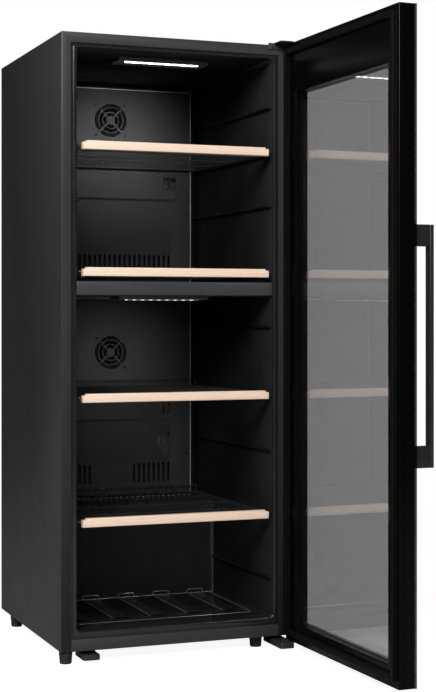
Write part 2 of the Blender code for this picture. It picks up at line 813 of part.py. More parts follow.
# Shelves
def make_wire_shelf(index, level, body):
    """A flat rack: frame, bars from front to back, and an upturned stop at the back."""
    z = Z0 + level
    low, high = z - SHELF_WIRE / 2, z + SHELF_WIRE / 2
    front = FRONT_T - FRONT_PROUD + FIT
    rack = boxes(
        f"wire_shelf_{index}", body,
        [((-SHELF_HALF_W, front, low), (SHELF_HALF_W, SHELF_BACK, high))], WIRE_BLACK,
    )
    inner = SHELF_HALF_W - SHELF_WIRE
    pitch = (2 * inner + SHELF_BAR) / (SHELF_BARS + 1)
    gaps = []
    for i in range(SHELF_BARS + 1):
        left = -inner + i * pitch
        right = left + pitch - SHELF_BAR
        gaps.append(((left, front + SHELF_WIRE, low - OVER), (right, SHELF_BACK - SHELF_WIRE, high + OVER)))
    cut(rack, boxes(f"cut_shelf_{index}", body, gaps))
    stop_half = inner - SHELF_WIRE
    stop_front = SHELF_BACK - SHELF_WIRE
    stop = boxes(
        f"shelf_stop_form_{index}", body,
        [((-stop_half, stop_front, z), (stop_half, stop_front + SHELF_BAR, z + SHELF_STOP_H))],
    )
    join(rack, stop)


def make_shelf_front(index, level, body):
    z = Z0 + level
    low = (-FRONT_HALF_W, -FRONT_PROUD, z - FRONT_H / 2)
    high = (FRONT_HALF_W, FRONT_T - FRONT_PROUD, z + FRONT_H / 2)
    round_box(f"shelf_front_{index}", body, low, high, FRONT_EDGE_R, along_x, BEECH, 2)


# Feet
def make_foot(name, x, y, body):
    """A tapered pad on a levelling screw. The screw passes through the base into the foam's pocket."""
    top = FOOT_H - FIT
    profile = [
        (0, top + SCREW_L), (SCREW_R, top + SCREW_L), (SCREW_R, top), (FOOT_TOP_R, top),
        (FOOT_TOP_R, top - FOOT_BAND_H), (FOOT_BASE_R, FOOT_CHAMFER), (FOOT_BASE_R - FOOT_CHAMFER, 0), (0, 0),
    ]
    turned(name, body, (x, y, 0), profile, RUBBER_BLACK)


# Door hinges
def make_top_hinge():
    """A leaf on the top rail with an arm that reaches over the door."""
    under = DOOR_Z1 + HINGE_CLEAR
    right = HALF_W - SHEET
    leaf = ((right - LEAF_W, -HINGE_PLATE - FIT, Z1 - LEAF_DROP), (right, -FIT, under + HINGE_PLATE))
    arm = ((right - ARM_W, -ARM_REACH, under), (right, -HINGE_PLATE, under + HINGE_PLATE))
    bracket = boxes("top_hinge_bracket", CABINET, [leaf], STEEL_HINGE)
    join(bracket, boxes("top_hinge_arm_form", CABINET, [arm]))
    cut(bracket, pin_hole("cut_top_hinge", under - OVER, under + OVER))
    head = under + HINGE_PLATE + FIT
    end = DOOR_Z1 - BUSH_L + FIT
    profile = [
        (0, head + PIN_HEAD_T), (PIN_HEAD_R, head + PIN_HEAD_T), (PIN_HEAD_R, head),
        (PIN_R, head), (PIN_R, end), (0, end),
    ]
    turned("top_hinge_pin", CABINET, (PIVOT_X, PIVOT_Y, 0), profile, STEEL_BRIGHT)


def pin_hole(name, low, high):
    return cylinders(name, CABINET, [(PIVOT_X, PIVOT_Y, 0)], PIN_R + FIT, low, high)


def channel_bracket(name, left, right, reach, height):
    """A channel bolted under the base and open below, with a seat at its back that meets the base."""
    top = DOOR_Z0 - BRACKET_CLEAR
    low = top - height
    wall = BRACKET_WALL
    bracket = boxes(name, CABINET, [((left, -reach, low), (right, BRACKET_BACK, top))], STEEL_HINGE)
    seat = boxes(
        name + "_seat_form", CABINET,
        [((left, BRACKET_BACK - BRACKET_SEAT_D, top - wall), (right, BRACKET_BACK, Z0 - FIT))],
    )
    hollow = boxes(
        "cut_" + name, CABINET,
        [((left + wall, wall - reach, low - OVER), (right - wall, BRACKET_BACK - wall, top - wall))],
    )
    join(bracket, seat)
    cut(bracket, hollow)
    return bracket, top


def make_bottom_hinge():
    """The channel whose front end carries the door's lower pin."""
    right = HALF_W - SHEET
    bracket, top = channel_bracket("bottom_hinge_bracket", right - ARM_W, right, BRACKET_REACH, BRACKET_H)
    cut(bracket, pin_hole("cut_bottom_hinge", top - OVER, top + OVER))
    end = DOOR_Z0 + BUSH_L - FIT
    profile = [(0, end), (PIN_R, end), (PIN_R, top - BRACKET_WALL), (0, top - BRACKET_WALL)]
    turned("bottom_hinge_pin", CABINET, (PIVOT_X, PIVOT_Y, 0), profile, STEEL_BRIGHT)


def make_front_support():
    """A short channel under the left front, which carries the lower pin when the door is hung on the left."""
    left = SUPPORT_X - HALF_W
    channel_bracket("front_support", left, left + SUPPORT_W, SUPPORT_REACH, SUPPORT_H)


# Door
def window_span(grow, y_low, y_high):
    left, right = SIDE_BORDER - DOOR_HALF - grow, DOOR_HALF - SIDE_BORDER + grow
    low, high = DOOR_Z0 + BOTTOM_BORDER - grow, DOOR_Z1 - TOP_BORDER + grow
    return (left, y_low, low), (right, y_high, high)


def make_door_frame():
    """A deep ring moulding, hollow from its front. The panes sit in a rebate behind the reveal."""
    front = DOOR_OUT + GLASS_T + FIT
    frame = round_box(
        "door_frame", DOOR, (-DOOR_HALF, front, DOOR_Z0), (DOOR_HALF, DOOR_IN, DOOR_Z1),
        DOOR_EDGE_R, lambda middle, direction: middle.y > DOOR_IN - FIT, ABS_GLOSS, 2,
    )
    window = boxes("cut_door_window", DOOR, [window_span(0, front - OVER, DOOR_IN + OVER)])
    rebate = boxes("cut_door_rebate", DOOR, [window_span(REBATE, front - OVER, PANE_IN)])
    cut(frame, window, rebate, boxes("cut_door_hollows", DOOR, frame_hollows(front - OVER)))
    pivot = [(PIVOT_X, PIVOT_Y, 0)]
    for name, low, high in (
        ("cut_bush_low", DOOR_Z0 - OVER, DOOR_Z0 + BUSH_L + FIT),
        ("cut_bush_high", DOOR_Z1 - BUSH_L - FIT, DOOR_Z1 + OVER),
    ):
        cut(frame, cylinders(name, DOOR, pivot, BUSH_R + FIT, low, high))


def frame_hollows(front):
    """The hollows of the door's four borders. The corners stay solid for the bushes."""
    floor = DOOR_IN - FRAME_BACK_T
    outer, inner = DOOR_HALF - FRAME_WALL, DOOR_HALF - SIDE_BORDER + REBATE + FRAME_WALL
    side_low, side_high = DOOR_Z0 + FRAME_CORNER, DOOR_Z1 - TOP_BORDER + REBATE
    (left, _, low), (right, _, high) = window_span(REBATE + FRAME_WALL, 0, 0)
    return [
        ((-outer, front, side_low), (-inner, floor, side_high)),
        ((inner, front, side_low), (outer, floor, side_high)),
        ((left, front, DOOR_Z0 + FRAME_WALL), (right, floor, low)),
        ((left, front, high), (right, floor, DOOR_Z1 - FRAME_WALL)),
    ]


def make_glazing():
    """Outer pane over the whole front, inner pane in the rebate, and the spacer that parts them."""
    back = DOOR_OUT + GLASS_T
    boxes("outer_glass", DOOR, [((-DOOR_HALF, DOOR_OUT, DOOR_Z0), (DOOR_HALF, back, DOOR_Z1))], GLASS_TINT)
    slack = REBATE - FIT
    boxes("inner_glass", DOOR, [window_span(slack, PANE_IN - FIT - GLASS_T, PANE_IN - FIT)], GLASS_TINT)
    low, high = back + FIT, PANE_IN - 2 * FIT - GLASS_T
    spacer = boxes("glass_spacer", DOOR, [window_span(slack, low, high)], ALUMINIUM_BLACK)
    cut(spacer, boxes("cut_spacer", DOOR, [window_span(SPACER_LIP, low - OVER, high + OVER)]))


def make_door_gasket():
    """The magnetic seal ring. Shut, it lies against the cabinet's posts and rails."""
    outer, inner = HALF_W - GASKET_EDGE, HALF_W - GASKET_EDGE - GASKET_W
    low, high = Z0 + GASKET_BOTTOM, Z1 - GASKET_TOP
    gasket = round_box(
        "door_gasket", DOOR, (-outer, DOOR_IN + FIT, low), (outer, -FIT, high), GASKET_EDGE_R,
        lambda middle, direction: middle.y > -2 * FIT, RUBBER_BLACK, 2,
    )
    span = ((-inner, DOOR_IN - OVER, low + GASKET_W), (inner, OVER, high - GASKET_W))
    cut(gasket, boxes("cut_gasket", DOOR, [span]))


def make_hinge_bushes():
    """Plastic sleeves in the door's corners, each with a flange that spaces the door from its hinge."""
    inner = PIN_R + BUSH_GAP
    for name, end, sign in (("lower_hinge_bush", DOOR_Z0, -1), ("upper_hinge_bush", DOOR_Z1, 1)):
        flange = end + sign * FIT
        face = flange + sign * BUSH_FLANGE_T
        depth = end - sign * (BUSH_L - FIT)
        profile = [(inner, face), (BUSH_FLANGE_R, face), (BUSH_FLANGE_R, flange)]
        profile += [(BUSH_R, flange), (BUSH_R, depth), (inner, depth)]
        if sign < 0:
            profile.reverse()
        turned(name, DOOR, (PIVOT_X, PIVOT_Y, 0), profile, ABS_GREY, closed=True)


def make_handle():
    """A flat bar that stands off the door's front on two blocks."""
    left = HANDLE_FROM_EDGE - DOOR_HALF
    right = left + HANDLE_W
    low, high = Z0 + HANDLE_LOW, Z0 + HANDLE_HIGH
    front = DOOR_OUT - HANDLE_PROJECTION
    round_box(
        "handle_grip", DOOR, (left, front, low), (right, front + HANDLE_T, high), HANDLE_EDGE_R,
        lambda middle, direction: abs(direction.z) > abs(direction.x) + abs(direction.y), HANDLE_FINISH, 2,
    )
    seat = front + HANDLE_T + FIT
    for name, z in (("handle_mount_lower", low), ("handle_mount_upper", high - HANDLE_LEG_H)):
        boxes(name, DOOR, [((left, seat, z), (right, DOOR_OUT - FIT, z + HANDLE_LEG_H))], HANDLE_FINISH)


def make_door_electronics():
    """The touch display behind the outer glass and its board, in the hollow above the window."""
    face = DOOR_OUT + GLASS_T + 2 * FIT
    for name, width, height, near, thickness, finish in (
        ("display_module", DISPLAY_W, DISPLAY_H, face, DISPLAY_T, ABS_BLACK),
        ("control_board", BOARD_W, BOARD_H, face + BOARD_SETBACK, BOARD_T, BOARD_GREEN),
    ):
        low = (-width / 2, near, DOOR_Z1 - TOP_BORDER / 2 - height / 2)
        high = (width / 2, near + thickness, low[2] + height)
        boxes(name, DOOR, [(low, high)], finish)


# Compressor bay
def bay_middle():
    return (BAY_FRONT + BACK_FACE) / 2


def bay_box(name, width, depth, low, height, finish=None, grow=0.0):
    """A box over the compressor's place in the bay."""
    half_w, half_d = width / 2 + grow, depth / 2 + grow
    span = (
        (COMPRESSOR_X - half_w, bay_middle() - half_d, low),
        (COMPRESSOR_X + half_w, bay_middle() + half_d, low + height),
    )
    return boxes(name, CABINET, [span], finish)


def make_compressor_mount():
    base = Z0 + TRAY_T + FIT
    plate = bay_box("compressor_mount", MOUNT_W, MOUNT_D, base + MOUNT_LIFT - MOUNT_T, MOUNT_T, STEEL_BLACK)
    reach_x, reach_y = MOUNT_W / 2 - MOUNT_FOOT_IN, MOUNT_D / 2 - MOUNT_FOOT_IN
    corners = [
        (COMPRESSOR_X + sign_x * reach_x, bay_middle() + sign_y * reach_y, 0)
        for sign_x in (-1, 1)
        for sign_y in (-1, 1)
    ]
    high = base + MOUNT_LIFT - MOUNT_T / 2
    feet = cylinders(
        "compressor_mount_feet_form", CABINET, corners, MOUNT_FOOT_R, base, high, "Z", None, FINE_STEPS
    )
    join(plate, feet)


def make_compressor():
    rise = Z0 + TRAY_T + MOUNT_LIFT + 2 * FIT
    dome = COMPRESSOR_R * COMPRESSOR_DOME_SHARE
    angles = [math.pi / 2 * i / COMPRESSOR_DOME_STEPS for i in range(1, COMPRESSOR_DOME_STEPS + 1)]
    profile = [(0, COMPRESSOR_H)]
    profile += [(COMPRESSOR_R * math.sin(a), COMPRESSOR_H - dome * (1 - math.cos(a))) for a in angles]
    profile += [(COMPRESSOR_R, COMPRESSOR_BASE_H), (COMPRESSOR_R * COMPRESSOR_BASE_SHARE, 0), (0, 0)]
    turned("compressor", CABINET, (COMPRESSOR_X, bay_middle(), rise), profile, STEEL_BLACK, ROUND_STEPS + 4)


def make_drip_tray():
    low = Z0 + TRAY_T + MOUNT_LIFT + COMPRESSOR_H + 4 * FIT
    tray = bay_box("drip_tray", DRIP_TRAY_W, DRIP_TRAY_D, low, DRIP_TRAY_H, ABS_GREY)
    hollow = bay_box(
        "cut_drip_tray", DRIP_TRAY_W, DRIP_TRAY_D, low + DRIP_TRAY_T, DRIP_TRAY_H + OVER, None, -DRIP_TRAY_T
    )
    cut(tray, hollow)


def make_condenser():
    """One tube that goes to and fro across the bay."""
    curve = bpy.data.curves.new("condenser", "CURVE")
    curve.dimensions = "3D"
    curve.bevel_depth = CONDENSER_R
    curve.bevel_resolution = 1
    curve.use_fill_caps = True
    points = []
    low = Z0 + TRAY_T + CONDENSER_PITCH
    for run in range(CONDENSER_RUNS):
        ends = [CONDENSER_X - CONDENSER_W / 2, CONDENSER_X + CONDENSER_W / 2]
        if run % 2:
            ends.reverse()
        points += [(x, bay_middle(), low + run * CONDENSER_PITCH) for x in ends]
    spline = curve.splines.new("POLY")
    spline.points.add(len(points) - 1)
    for point, place_at in zip(spline.points, points):
        point.co = (*place_at, 1)
    obj = bpy.data.objects.new("condenser", curve)
    obj.parent = CABINET
    curve.materials.append(COPPER)
    PARTS.objects.link(obj)


def inlet_span(grow):
    return (
        (INLET_X - INLET_W / 2 - grow, BACK_FACE - INLET_D, Z0 + INLET_Z - INLET_H / 2 - grow),
        (INLET_X + INLET_W / 2 + grow, CASE_D + grow * 2, Z0 + INLET_Z + INLET_H / 2 + grow),
    )


def make_mains_inlet():
    low, high = inlet_span(0)
    inlet = boxes("mains_inlet", CABINET, [(low, high)], ABS_BLACK)
    left, right = low[0] + INLET_WALL, high[0] - INLET_WALL
    bottom, top = low[2] + INLET_WALL, high[2] - INLET_WALL
    socket = ((left, CASE_D - SOCKET_D, bottom), (right, CASE_D + OVER, top))
    cut(inlet, boxes("cut_inlet", CABINET, [socket]))


def rest_centre():
    """The middle of the footprint, from the cabinet's corner to the open door's and the handle's."""
    turn = Matrix.Rotation(math.radians(DOOR_REST_DEG), 2)
    pivot = Vector((PIVOT_X, PIVOT_Y))
    handle_right = HANDLE_FROM_EDGE + HANDLE_W - DOOR_HALF
    corners = [(-DOOR_HALF, DOOR_IN), (-DOOR_HALF, DOOR_OUT), (DOOR_HALF, DOOR_OUT)]
    corners += [(x, DOOR_OUT - HANDLE_PROJECTION) for x in (HANDLE_FROM_EDGE - DOOR_HALF, handle_right)]
    reached = [pivot + turn @ (Vector(corner) - pivot) for corner in corners]
    reached += [Vector((-HALF_W, 0)), Vector((HALF_W, CASE_D))]
    return [(min(p[i] for p in reached) + max(p[i] for p in reached)) / 2 for i in (0, 1)]


clear_scene()
PARTS = new_collection("wine_cooler")
CUTTERS = new_collection("cutters")

STEEL_BLACK = material("black_painted_steel", (0.030, 0.030, 0.032), 0.45)
STEEL_ZINC = material("zinc_coated_steel", (0.42, 0.43, 0.44), 0.45, 0.9)
STEEL_HINGE = material("black_hinge_steel", (0.020, 0.020, 0.021), 0.5)
STEEL_BRIGHT = material("bright_steel_pin", (0.55, 0.55, 0.56), 0.3, 1.0)
FOAM = material("polyurethane_foam", (0.75, 0.68, 0.45), 0.9)
HIPS_BLACK = material("black_liner_plastic", (0.016, 0.016, 0.018), 0.4)
HIPS_GREY = material("grey_divider_plastic", (0.045, 0.045, 0.047), 0.4)
ABS_GREY = material("grey_plastic", (0.12, 0.12, 0.12), 0.5)
ABS_BLACK = material("black_plastic", (0.012, 0.012, 0.012), 0.45)
ABS_GLOSS = material("gloss_black_plastic", (0.004, 0.004, 0.004), 0.12)
LENS_WHITE = material("white_lens", (0.95, 0.96, 1.0), 0.3)
ALUMINIUM = material("aluminium_plate", (0.70, 0.70, 0.71), 0.4, 1.0)
ALUMINIUM_BLACK = material("black_anodised_aluminium", (0.010, 0.010, 0.010), 0.4, 0.6)
WIRE_BLACK = material("black_coated_wire", (0.010, 0.010, 0.010), 0.35)
BEECH = material("pale_beech", (0.87, 0.64, 0.44), 0.5)
RUBBER_BLACK = material("black_rubber", (0.015, 0.015, 0.015), 0.7)
GLASS_TINT = material("tinted_glass", (0.15, 0.15, 0.15), 0.03, 0.0, 0.4)
HANDLE_FINISH = material("dark_handle_metal", (0.040, 0.040, 0.041), 0.4, 0.5)
COPPER = material("copper_tube", (0.72, 0.38, 0.26), 0.35, 1.0)
BOARD_GREEN = material("circuit_board", (0.02, 0.16, 0.06), 0.5)

centre_x, centre_y = rest_centre()
ORIGIN = new_body("cabinet_origin", (0.0, 0.0, 0.0))
ORIGIN.location = (-centre_x, -centre_y, 0.0)
CABINET = new_body("cabinet", (0.0, 0.0, 0.0), ORIGIN)
DOOR = new_body("door_axis", (PIVOT_X, PIVOT_Y, 0.0), ORIGIN, DOOR_REST_DEG)

make_outer_casing()
make_front_bottom_rail()
make_base_plate()
make_compressor_tray()
make_rear_panel()
make_compressor_cover()
make_foam_insulation()
make_inner_liner()
make_zone_divider()
make_lamp("ceiling_lamp", CEILING)
make_lamp("divider_lamp", Z0 + DIVIDER_BOTTOM)
make_upper_duct_panel()
make_lower_duct_panel()
for fan_name, fan_z in (("upper_fan", FAN_UPPER_Z), ("lower_fan", FAN_LOWER_Z)):
    make_fan(fan_name, fan_z, new_body(fan_name + "_axis", (0.0, FAN_FRONT, fan_z), ORIGIN))
make_evaporator("upper_evaporator", FAN_UPPER_Z, EVAPORATOR_H[0])
make_evaporator("lower_evaporator", FAN_LOWER_Z, EVAPORATOR_H[1])
make_temperature_sensor("upper_temperature_sensor", UPPER_SENSOR[0], Z0 + UPPER_SENSOR[1])
make_temperature_sensor("lower_temperature_sensor", LOWER_SENSOR[0], Z0 + LOWER_SENSOR[1])
for shelf_number, shelf_level in enumerate(SHELF_LEVELS, 1):
    shelf_body = new_body(f"shelf_{shelf_number}_slide", (0.0, 0.0, Z0 + shelf_level), ORIGIN)
    make_wire_shelf(shelf_number, shelf_level, shelf_body)
    make_shelf_front(shelf_number, shelf_level, shelf_body)
for foot_name, (foot_x, foot_y) in foot_centres().items():
    make_foot(foot_name, foot_x, foot_y, new_body(foot_name + "_axis", (foot_x, foot_y, 0.0), ORIGIN))
make_top_hinge()
make_bottom_hinge()
make_front_support()
make_door_frame()
make_glazing()
make_door_gasket()
make_hinge_bushes()
make_handle()
make_door_electronics()
make_compressor_mount()
make_compressor()
make_drip_tray()
make_condenser()
make_mains_inlet()
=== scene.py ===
"""Two-zone wine cooler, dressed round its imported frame.

Metres, +Z up, +Y towards the back, +X to the right. Every place comes from the frame's own boxes. The
sizes that a sub-assembly adds of its own are fields of its class.
"""

import json
import logging
import math
from dataclasses import dataclass
from enum import Enum
from typing import Iterable

import bmesh
import bpy
from mathutils import Matrix, Vector
from mathutils.geometry import tessellate_polygon


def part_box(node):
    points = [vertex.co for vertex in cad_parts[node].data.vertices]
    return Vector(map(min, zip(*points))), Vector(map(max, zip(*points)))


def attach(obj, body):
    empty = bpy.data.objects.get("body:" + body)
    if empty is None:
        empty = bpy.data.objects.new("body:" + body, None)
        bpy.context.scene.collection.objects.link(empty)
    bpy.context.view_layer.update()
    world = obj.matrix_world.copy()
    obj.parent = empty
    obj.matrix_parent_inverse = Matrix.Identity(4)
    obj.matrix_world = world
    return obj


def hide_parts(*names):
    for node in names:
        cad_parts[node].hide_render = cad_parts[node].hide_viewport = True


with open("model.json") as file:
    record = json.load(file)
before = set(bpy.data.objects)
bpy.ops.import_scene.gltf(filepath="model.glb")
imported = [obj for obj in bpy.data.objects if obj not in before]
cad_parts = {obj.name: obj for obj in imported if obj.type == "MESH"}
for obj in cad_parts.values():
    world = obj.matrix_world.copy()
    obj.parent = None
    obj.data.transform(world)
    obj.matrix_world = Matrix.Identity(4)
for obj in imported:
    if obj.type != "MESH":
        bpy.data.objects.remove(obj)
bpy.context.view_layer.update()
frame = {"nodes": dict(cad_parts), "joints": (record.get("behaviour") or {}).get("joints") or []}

LOG = logging.getLogger("wine_cooler")
MM = 0.001

Point2 = tuple[float, float]
Point3 = tuple[float, float, float]
Loop = list[Point2]
NodeInput = str | int


# Node materials
def linear(sheet_hex: str) -> tuple[float, float, float, float]:
    """Turns an sRGB hex value into a linear colour.

    Args:
        sheet_hex: Six hex digits, red first.

    Returns:
        Linear red, green and blue, and an alpha of 1.
    """
    channels = (int(sheet_hex[i : i + 2], 16) / 255 for i in (0, 2, 4))
    red, green, blue = (c / 12.92 if c <= 0.04045 else ((c + 0.055) / 1.055) ** 2.4 for c in channels)
    return red, green, blue, 1.0


def add_node(
    tree: bpy.types.NodeTree,
    kind: str,
    settings: dict[NodeInput, object],
    links: dict[NodeInput, bpy.types.NodeSocket] | None = None,
) -> bpy.types.Node:
    """Adds a node, sets it up and links its inputs.

    Args:
        tree: The node tree that takes the node.
        kind: Blender's name for the kind of node.
        settings: Values by input name, input number or property name.
        links: Sockets that feed the node, by input name or number.

    Returns:
        The new node.
    """
    node = tree.nodes.new(kind)
    for name, value in settings.items():
        if isinstance(name, int) or name in node.inputs:
            node.inputs[name].default_value = value
        else:
            setattr(node, name, value)
    for name, source in (links or {}).items():
        tree.links.new(source, node.inputs[name])
    return node


@dataclass(frozen=True)
class Finish:
    """A material and how its surface was made.

    The colour is sRGB hex. Roughness swings by roughness_swing over patches of patch_mm, which is how an even
    coat or moulding still catches the light unevenly.
    """

    name: str
    colour: str
    roughness: float
    metallic: float = 0.0
    ior: float = 1.5
    specular: float = 0.5
    roughness_swing: float = 0.05
    patch_mm: float = 60.0

    def material(self) -> bpy.types.Material:
        """The node material, made the first time that it is asked for."""
        made = bpy.data.materials.get(self.name)
        if made:
            return made
        made = bpy.data.materials.new(self.name)
        made.use_nodes = True
        tree = made.node_tree
        shader = tree.nodes["Principled BSDF"]
        shader.inputs["Base Color"].default_value = linear(self.colour)
        shader.inputs["Roughness"].default_value = self.roughness
        shader.inputs["Metallic"].default_value = self.metallic
        if not self.metallic:
            shader.inputs["IOR"].default_value = self.ior
            shader.inputs["Specular IOR Level"].default_value = self.specular
        place = add_node(tree, "ShaderNodeTexCoord", {}).outputs["Object"]
        self.pattern(tree, shader, place)
        return made

    def pattern(self, tree: bpy.types.NodeTree, shader: bpy.types.Node, place: bpy.types.NodeSocket) -> None:
        """Adds what the finish shows. A plain finish has only uneven gloss."""
        self.uneven_gloss(tree, shader, place)

    def uneven_gloss(self, tree: bpy.types.NodeTree, shader: bpy.types.Node, place: bpy.types.NodeSocket) -> None:
        """Feeds the roughness from soft patches."""
        patches = add_node(
            tree, "ShaderNodeTexNoise", {"Scale": 1 / (self.patch_mm * MM), "Detail": 3.0}, {"Vector": place}
        )
        swing = add_node(
            tree, "ShaderNodeMapRange",
            {"From Min": 0.3, "From Max": 0.7, "To Min": self.roughness - self.roughness_swing,
             "To Max": self.roughness + self.roughness_swing},
            {"Value": patches.outputs["Fac"]},
        )
        tree.links.new(swing.outputs["Result"], shader.inputs["Roughness"])

    def relief(
        self,
        tree: bpy.types.NodeTree,
        shader: bpy.types.Node,
        height: bpy.types.NodeSocket,
        depth_mm: float,
        strength: float,
    ) -> None:
        """Feeds the normal from a height map.

        Args:
            tree: The material's nodes.
            shader: The Principled node.
            height: The map, from 0 to 1.
            depth_mm: What 1 on the map stands for.
            strength: How much of the relief shows.
        """
        bump = add_node(
            tree, "ShaderNodeBump", {"Strength": strength, "Distance": depth_mm * MM}, {"Height": height}
        )
        tree.links.new(bump.outputs["Normal"], shader.inputs["Normal"])

    def two_tones(
        self,
        tree: bpy.types.NodeTree,
        shader: bpy.types.Node,
        share: bpy.types.NodeSocket,
        other: str,
    ) -> None:
        """Feeds the base colour from the finish's own colour towards another one.

        Args:
            tree: The material's nodes.
            shader: The Principled node.
            share: How much of the other colour shows, from 0 to 1.
            other: The other colour, sRGB hex.
        """
        mixed = add_node(
            tree, "ShaderNodeMix", {"data_type": "RGBA", 6: linear(self.colour), 7: linear(other)}, {0: share}
        )
        tree.links.new(mixed.outputs[2], shader.inputs["Base Color"])


@dataclass(frozen=True)
class PowderCoat(Finish):
    """Polyester powder baked on steel: an even satin skin with a fine orange peel."""

    peel_mm: float = 1.6
    peel_depth_mm: float = 0.03

    def pattern(self, tree: bpy.types.NodeTree, shader: bpy.types.Node, place: bpy.types.NodeSocket) -> None:
        """Adds uneven gloss and orange peel."""
        self.uneven_gloss(tree, shader, place)
        peel = add_node(
            tree, "ShaderNodeTexNoise", {"Scale": 1 / (self.peel_mm * MM), "Detail": 2.0}, {"Vector": place}
        )
        self.relief(tree, shader, peel.outputs["Fac"], self.peel_depth_mm, 0.5)


@dataclass(frozen=True)
class VacuumFormedPolystyrene(Finish):
    """High-impact polystyrene drawn over a mould: black, half matt, with a pebbled haircell grain."""

    cell_mm: float = 1.3
    cell_depth_mm: float = 0.05
    stress_colour: str = "1B1B1D"

    def pattern(self, tree: bpy.types.NodeTree, shader: bpy.types.Node, place: bpy.types.NodeSocket) -> None:
        """Adds the grain, uneven gloss and the paler cast where the sheet was stretched."""
        self.uneven_gloss(tree, shader, place)
        cells = add_node(
            tree, "ShaderNodeTexVoronoi", {"feature": "SMOOTH_F1", "Scale": 1 / (self.cell_mm * MM)},
            {"Vector": place},
        )
        self.relief(tree, shader, cells.outputs["Distance"], self.cell_depth_mm, 0.35)
        stretch = add_node(
            tree, "ShaderNodeTexNoise", {"Scale": 1 / (180 * MM), "Detail": 2.0}, {"Vector": place}
        )
        share = add_node(
            tree, "ShaderNodeMapRange", {"From Min": 0.4, "From Max": 0.75, "To Min": 0.0, "To Max": 0.35},
            {"Value": stretch.outputs["Fac"]},
        )
        self.two_tones(tree, shader, share.outputs["Result"], self.stress_colour)


@dataclass(frozen=True)
class MouldedAbs(Finish):
    """ABS from a steel mould: spark-eroded for a satin part, polished for a glossy one."""

    # The real pits are about 0.1 mm across. They are drawn eight times as coarse, so that they show.
    spark_mm: float = 0.8
    spark_depth_mm: float = 0.02

    def pattern(self, tree: bpy.types.NodeTree, shader: bpy.types.Node, place: bpy.types.NodeSocket) -> None:
        """Adds the mould's texture and its uneven gloss."""
        self.uneven_gloss(tree, shader, place)
        sparks = add_node(
            tree, "ShaderNodeTexNoise", {"Scale": 1 / (self.spark_mm * MM), "Detail": 4.0}, {"Vector": place}
        )
        self.relief(tree, shader, sparks.outputs["Fac"], self.spark_depth_mm, 0.3)


@dataclass(frozen=True)
class ToughenedGlass(Finish):
    """Body-tinted float glass, toughened: clear grey, with the long soft waves that the rollers leave."""

    roller_mm: float = 240.0
    wave_depth_mm: float = 0.02

    def pattern(self, tree: bpy.types.NodeTree, shader: bpy.types.Node, place: bpy.types.NodeSocket) -> None:
        """Lets light through and adds the roller waves."""
        shader.inputs["Transmission Weight"].default_value = 1.0
        waves = add_node(
            tree, "ShaderNodeTexWave",
            {"bands_direction": "Z", "Scale": math.tau / (20 * self.roller_mm * MM), "Distortion": 1.5},
            {"Vector": place},
        )
        self.relief(tree, shader, waves.outputs["Fac"], self.wave_depth_mm, 0.1)


@dataclass(frozen=True)
class SteamedBeech(Finish):
    """Beech strip, planed and oiled: pale pinkish tan, with long grain and short dark ray flecks."""

    ring_mm: float = 4.5
    fleck_mm: float = 0.9
    fleck_length: float = 9.0
    dark: str = "C99B78"

    def pattern(self, tree: bpy.types.NodeTree, shader: bpy.types.Node, place: bpy.types.NodeSocket) -> None:
        """Adds growth rings, flecks and the pores that the plane leaves open. The grain runs along X."""
        self.uneven_gloss(tree, shader, place)
        drawn = add_node(
            tree, "ShaderNodeMapping", {"Scale": (0.035, 1.0, 1.0)}, {"Vector": place}
        ).outputs["Vector"]
        rings = add_node(
            tree, "ShaderNodeTexWave",
            {"bands_direction": "Z", "Scale": math.tau / (20 * self.ring_mm * MM), "Distortion": 9.0, "Detail": 3.0,
             "Detail Scale": 1.4, "wave_profile": "SAW"},
            {"Vector": drawn},
        )
        short = add_node(
            tree, "ShaderNodeMapping", {"Scale": (1 / self.fleck_length, 1.0, 1.0)}, {"Vector": place}
        ).outputs["Vector"]
        flecks = add_node(
            tree, "ShaderNodeTexVoronoi", {"Scale": 1 / (self.fleck_mm * MM), "Randomness": 1.0}, {"Vector": short}
        )
        fleck = add_node(
            tree, "ShaderNodeMapRange", {"From Min": 0.05, "From Max": 0.22, "To Min": 0.55, "To Max": 0.0},
            {"Value": flecks.outputs["Distance"]},
        )
        ring = add_node(tree, "ShaderNodeMath", {"operation": "MULTIPLY", 1: 0.42}, {0: rings.outputs["Fac"]})
        both = add_node(
            tree, "ShaderNodeMath", {"operation": "MAXIMUM"}, {0: ring.outputs["Value"], 1: fleck.outputs["Result"]}
        )
        self.two_tones(tree, shader, both.outputs["Value"], self.dark)
        self.relief(tree, shader, both.outputs["Value"], 0.03, 0.4)


@dataclass(frozen=True)
class DippedWire(Finish):
    """Steel wire dipped in black polyethylene: a soft shine that swells and thins along the wire."""

    lump_mm: float = 4.0

    def pattern(self, tree: bpy.types.NodeTree, shader: bpy.types.Node, place: bpy.types.NodeSocket) -> None:
        """Adds the coat's lumps and uneven gloss."""
        self.uneven_gloss(tree, shader, place)
        lumps = add_node(
            tree, "ShaderNodeTexNoise", {"Scale": 1 / (self.lump_mm * MM), "Detail": 1.0}, {"Vector": place}
        )
        self.relief(tree, shader, lumps.outputs["Fac"], 0.12, 0.5)


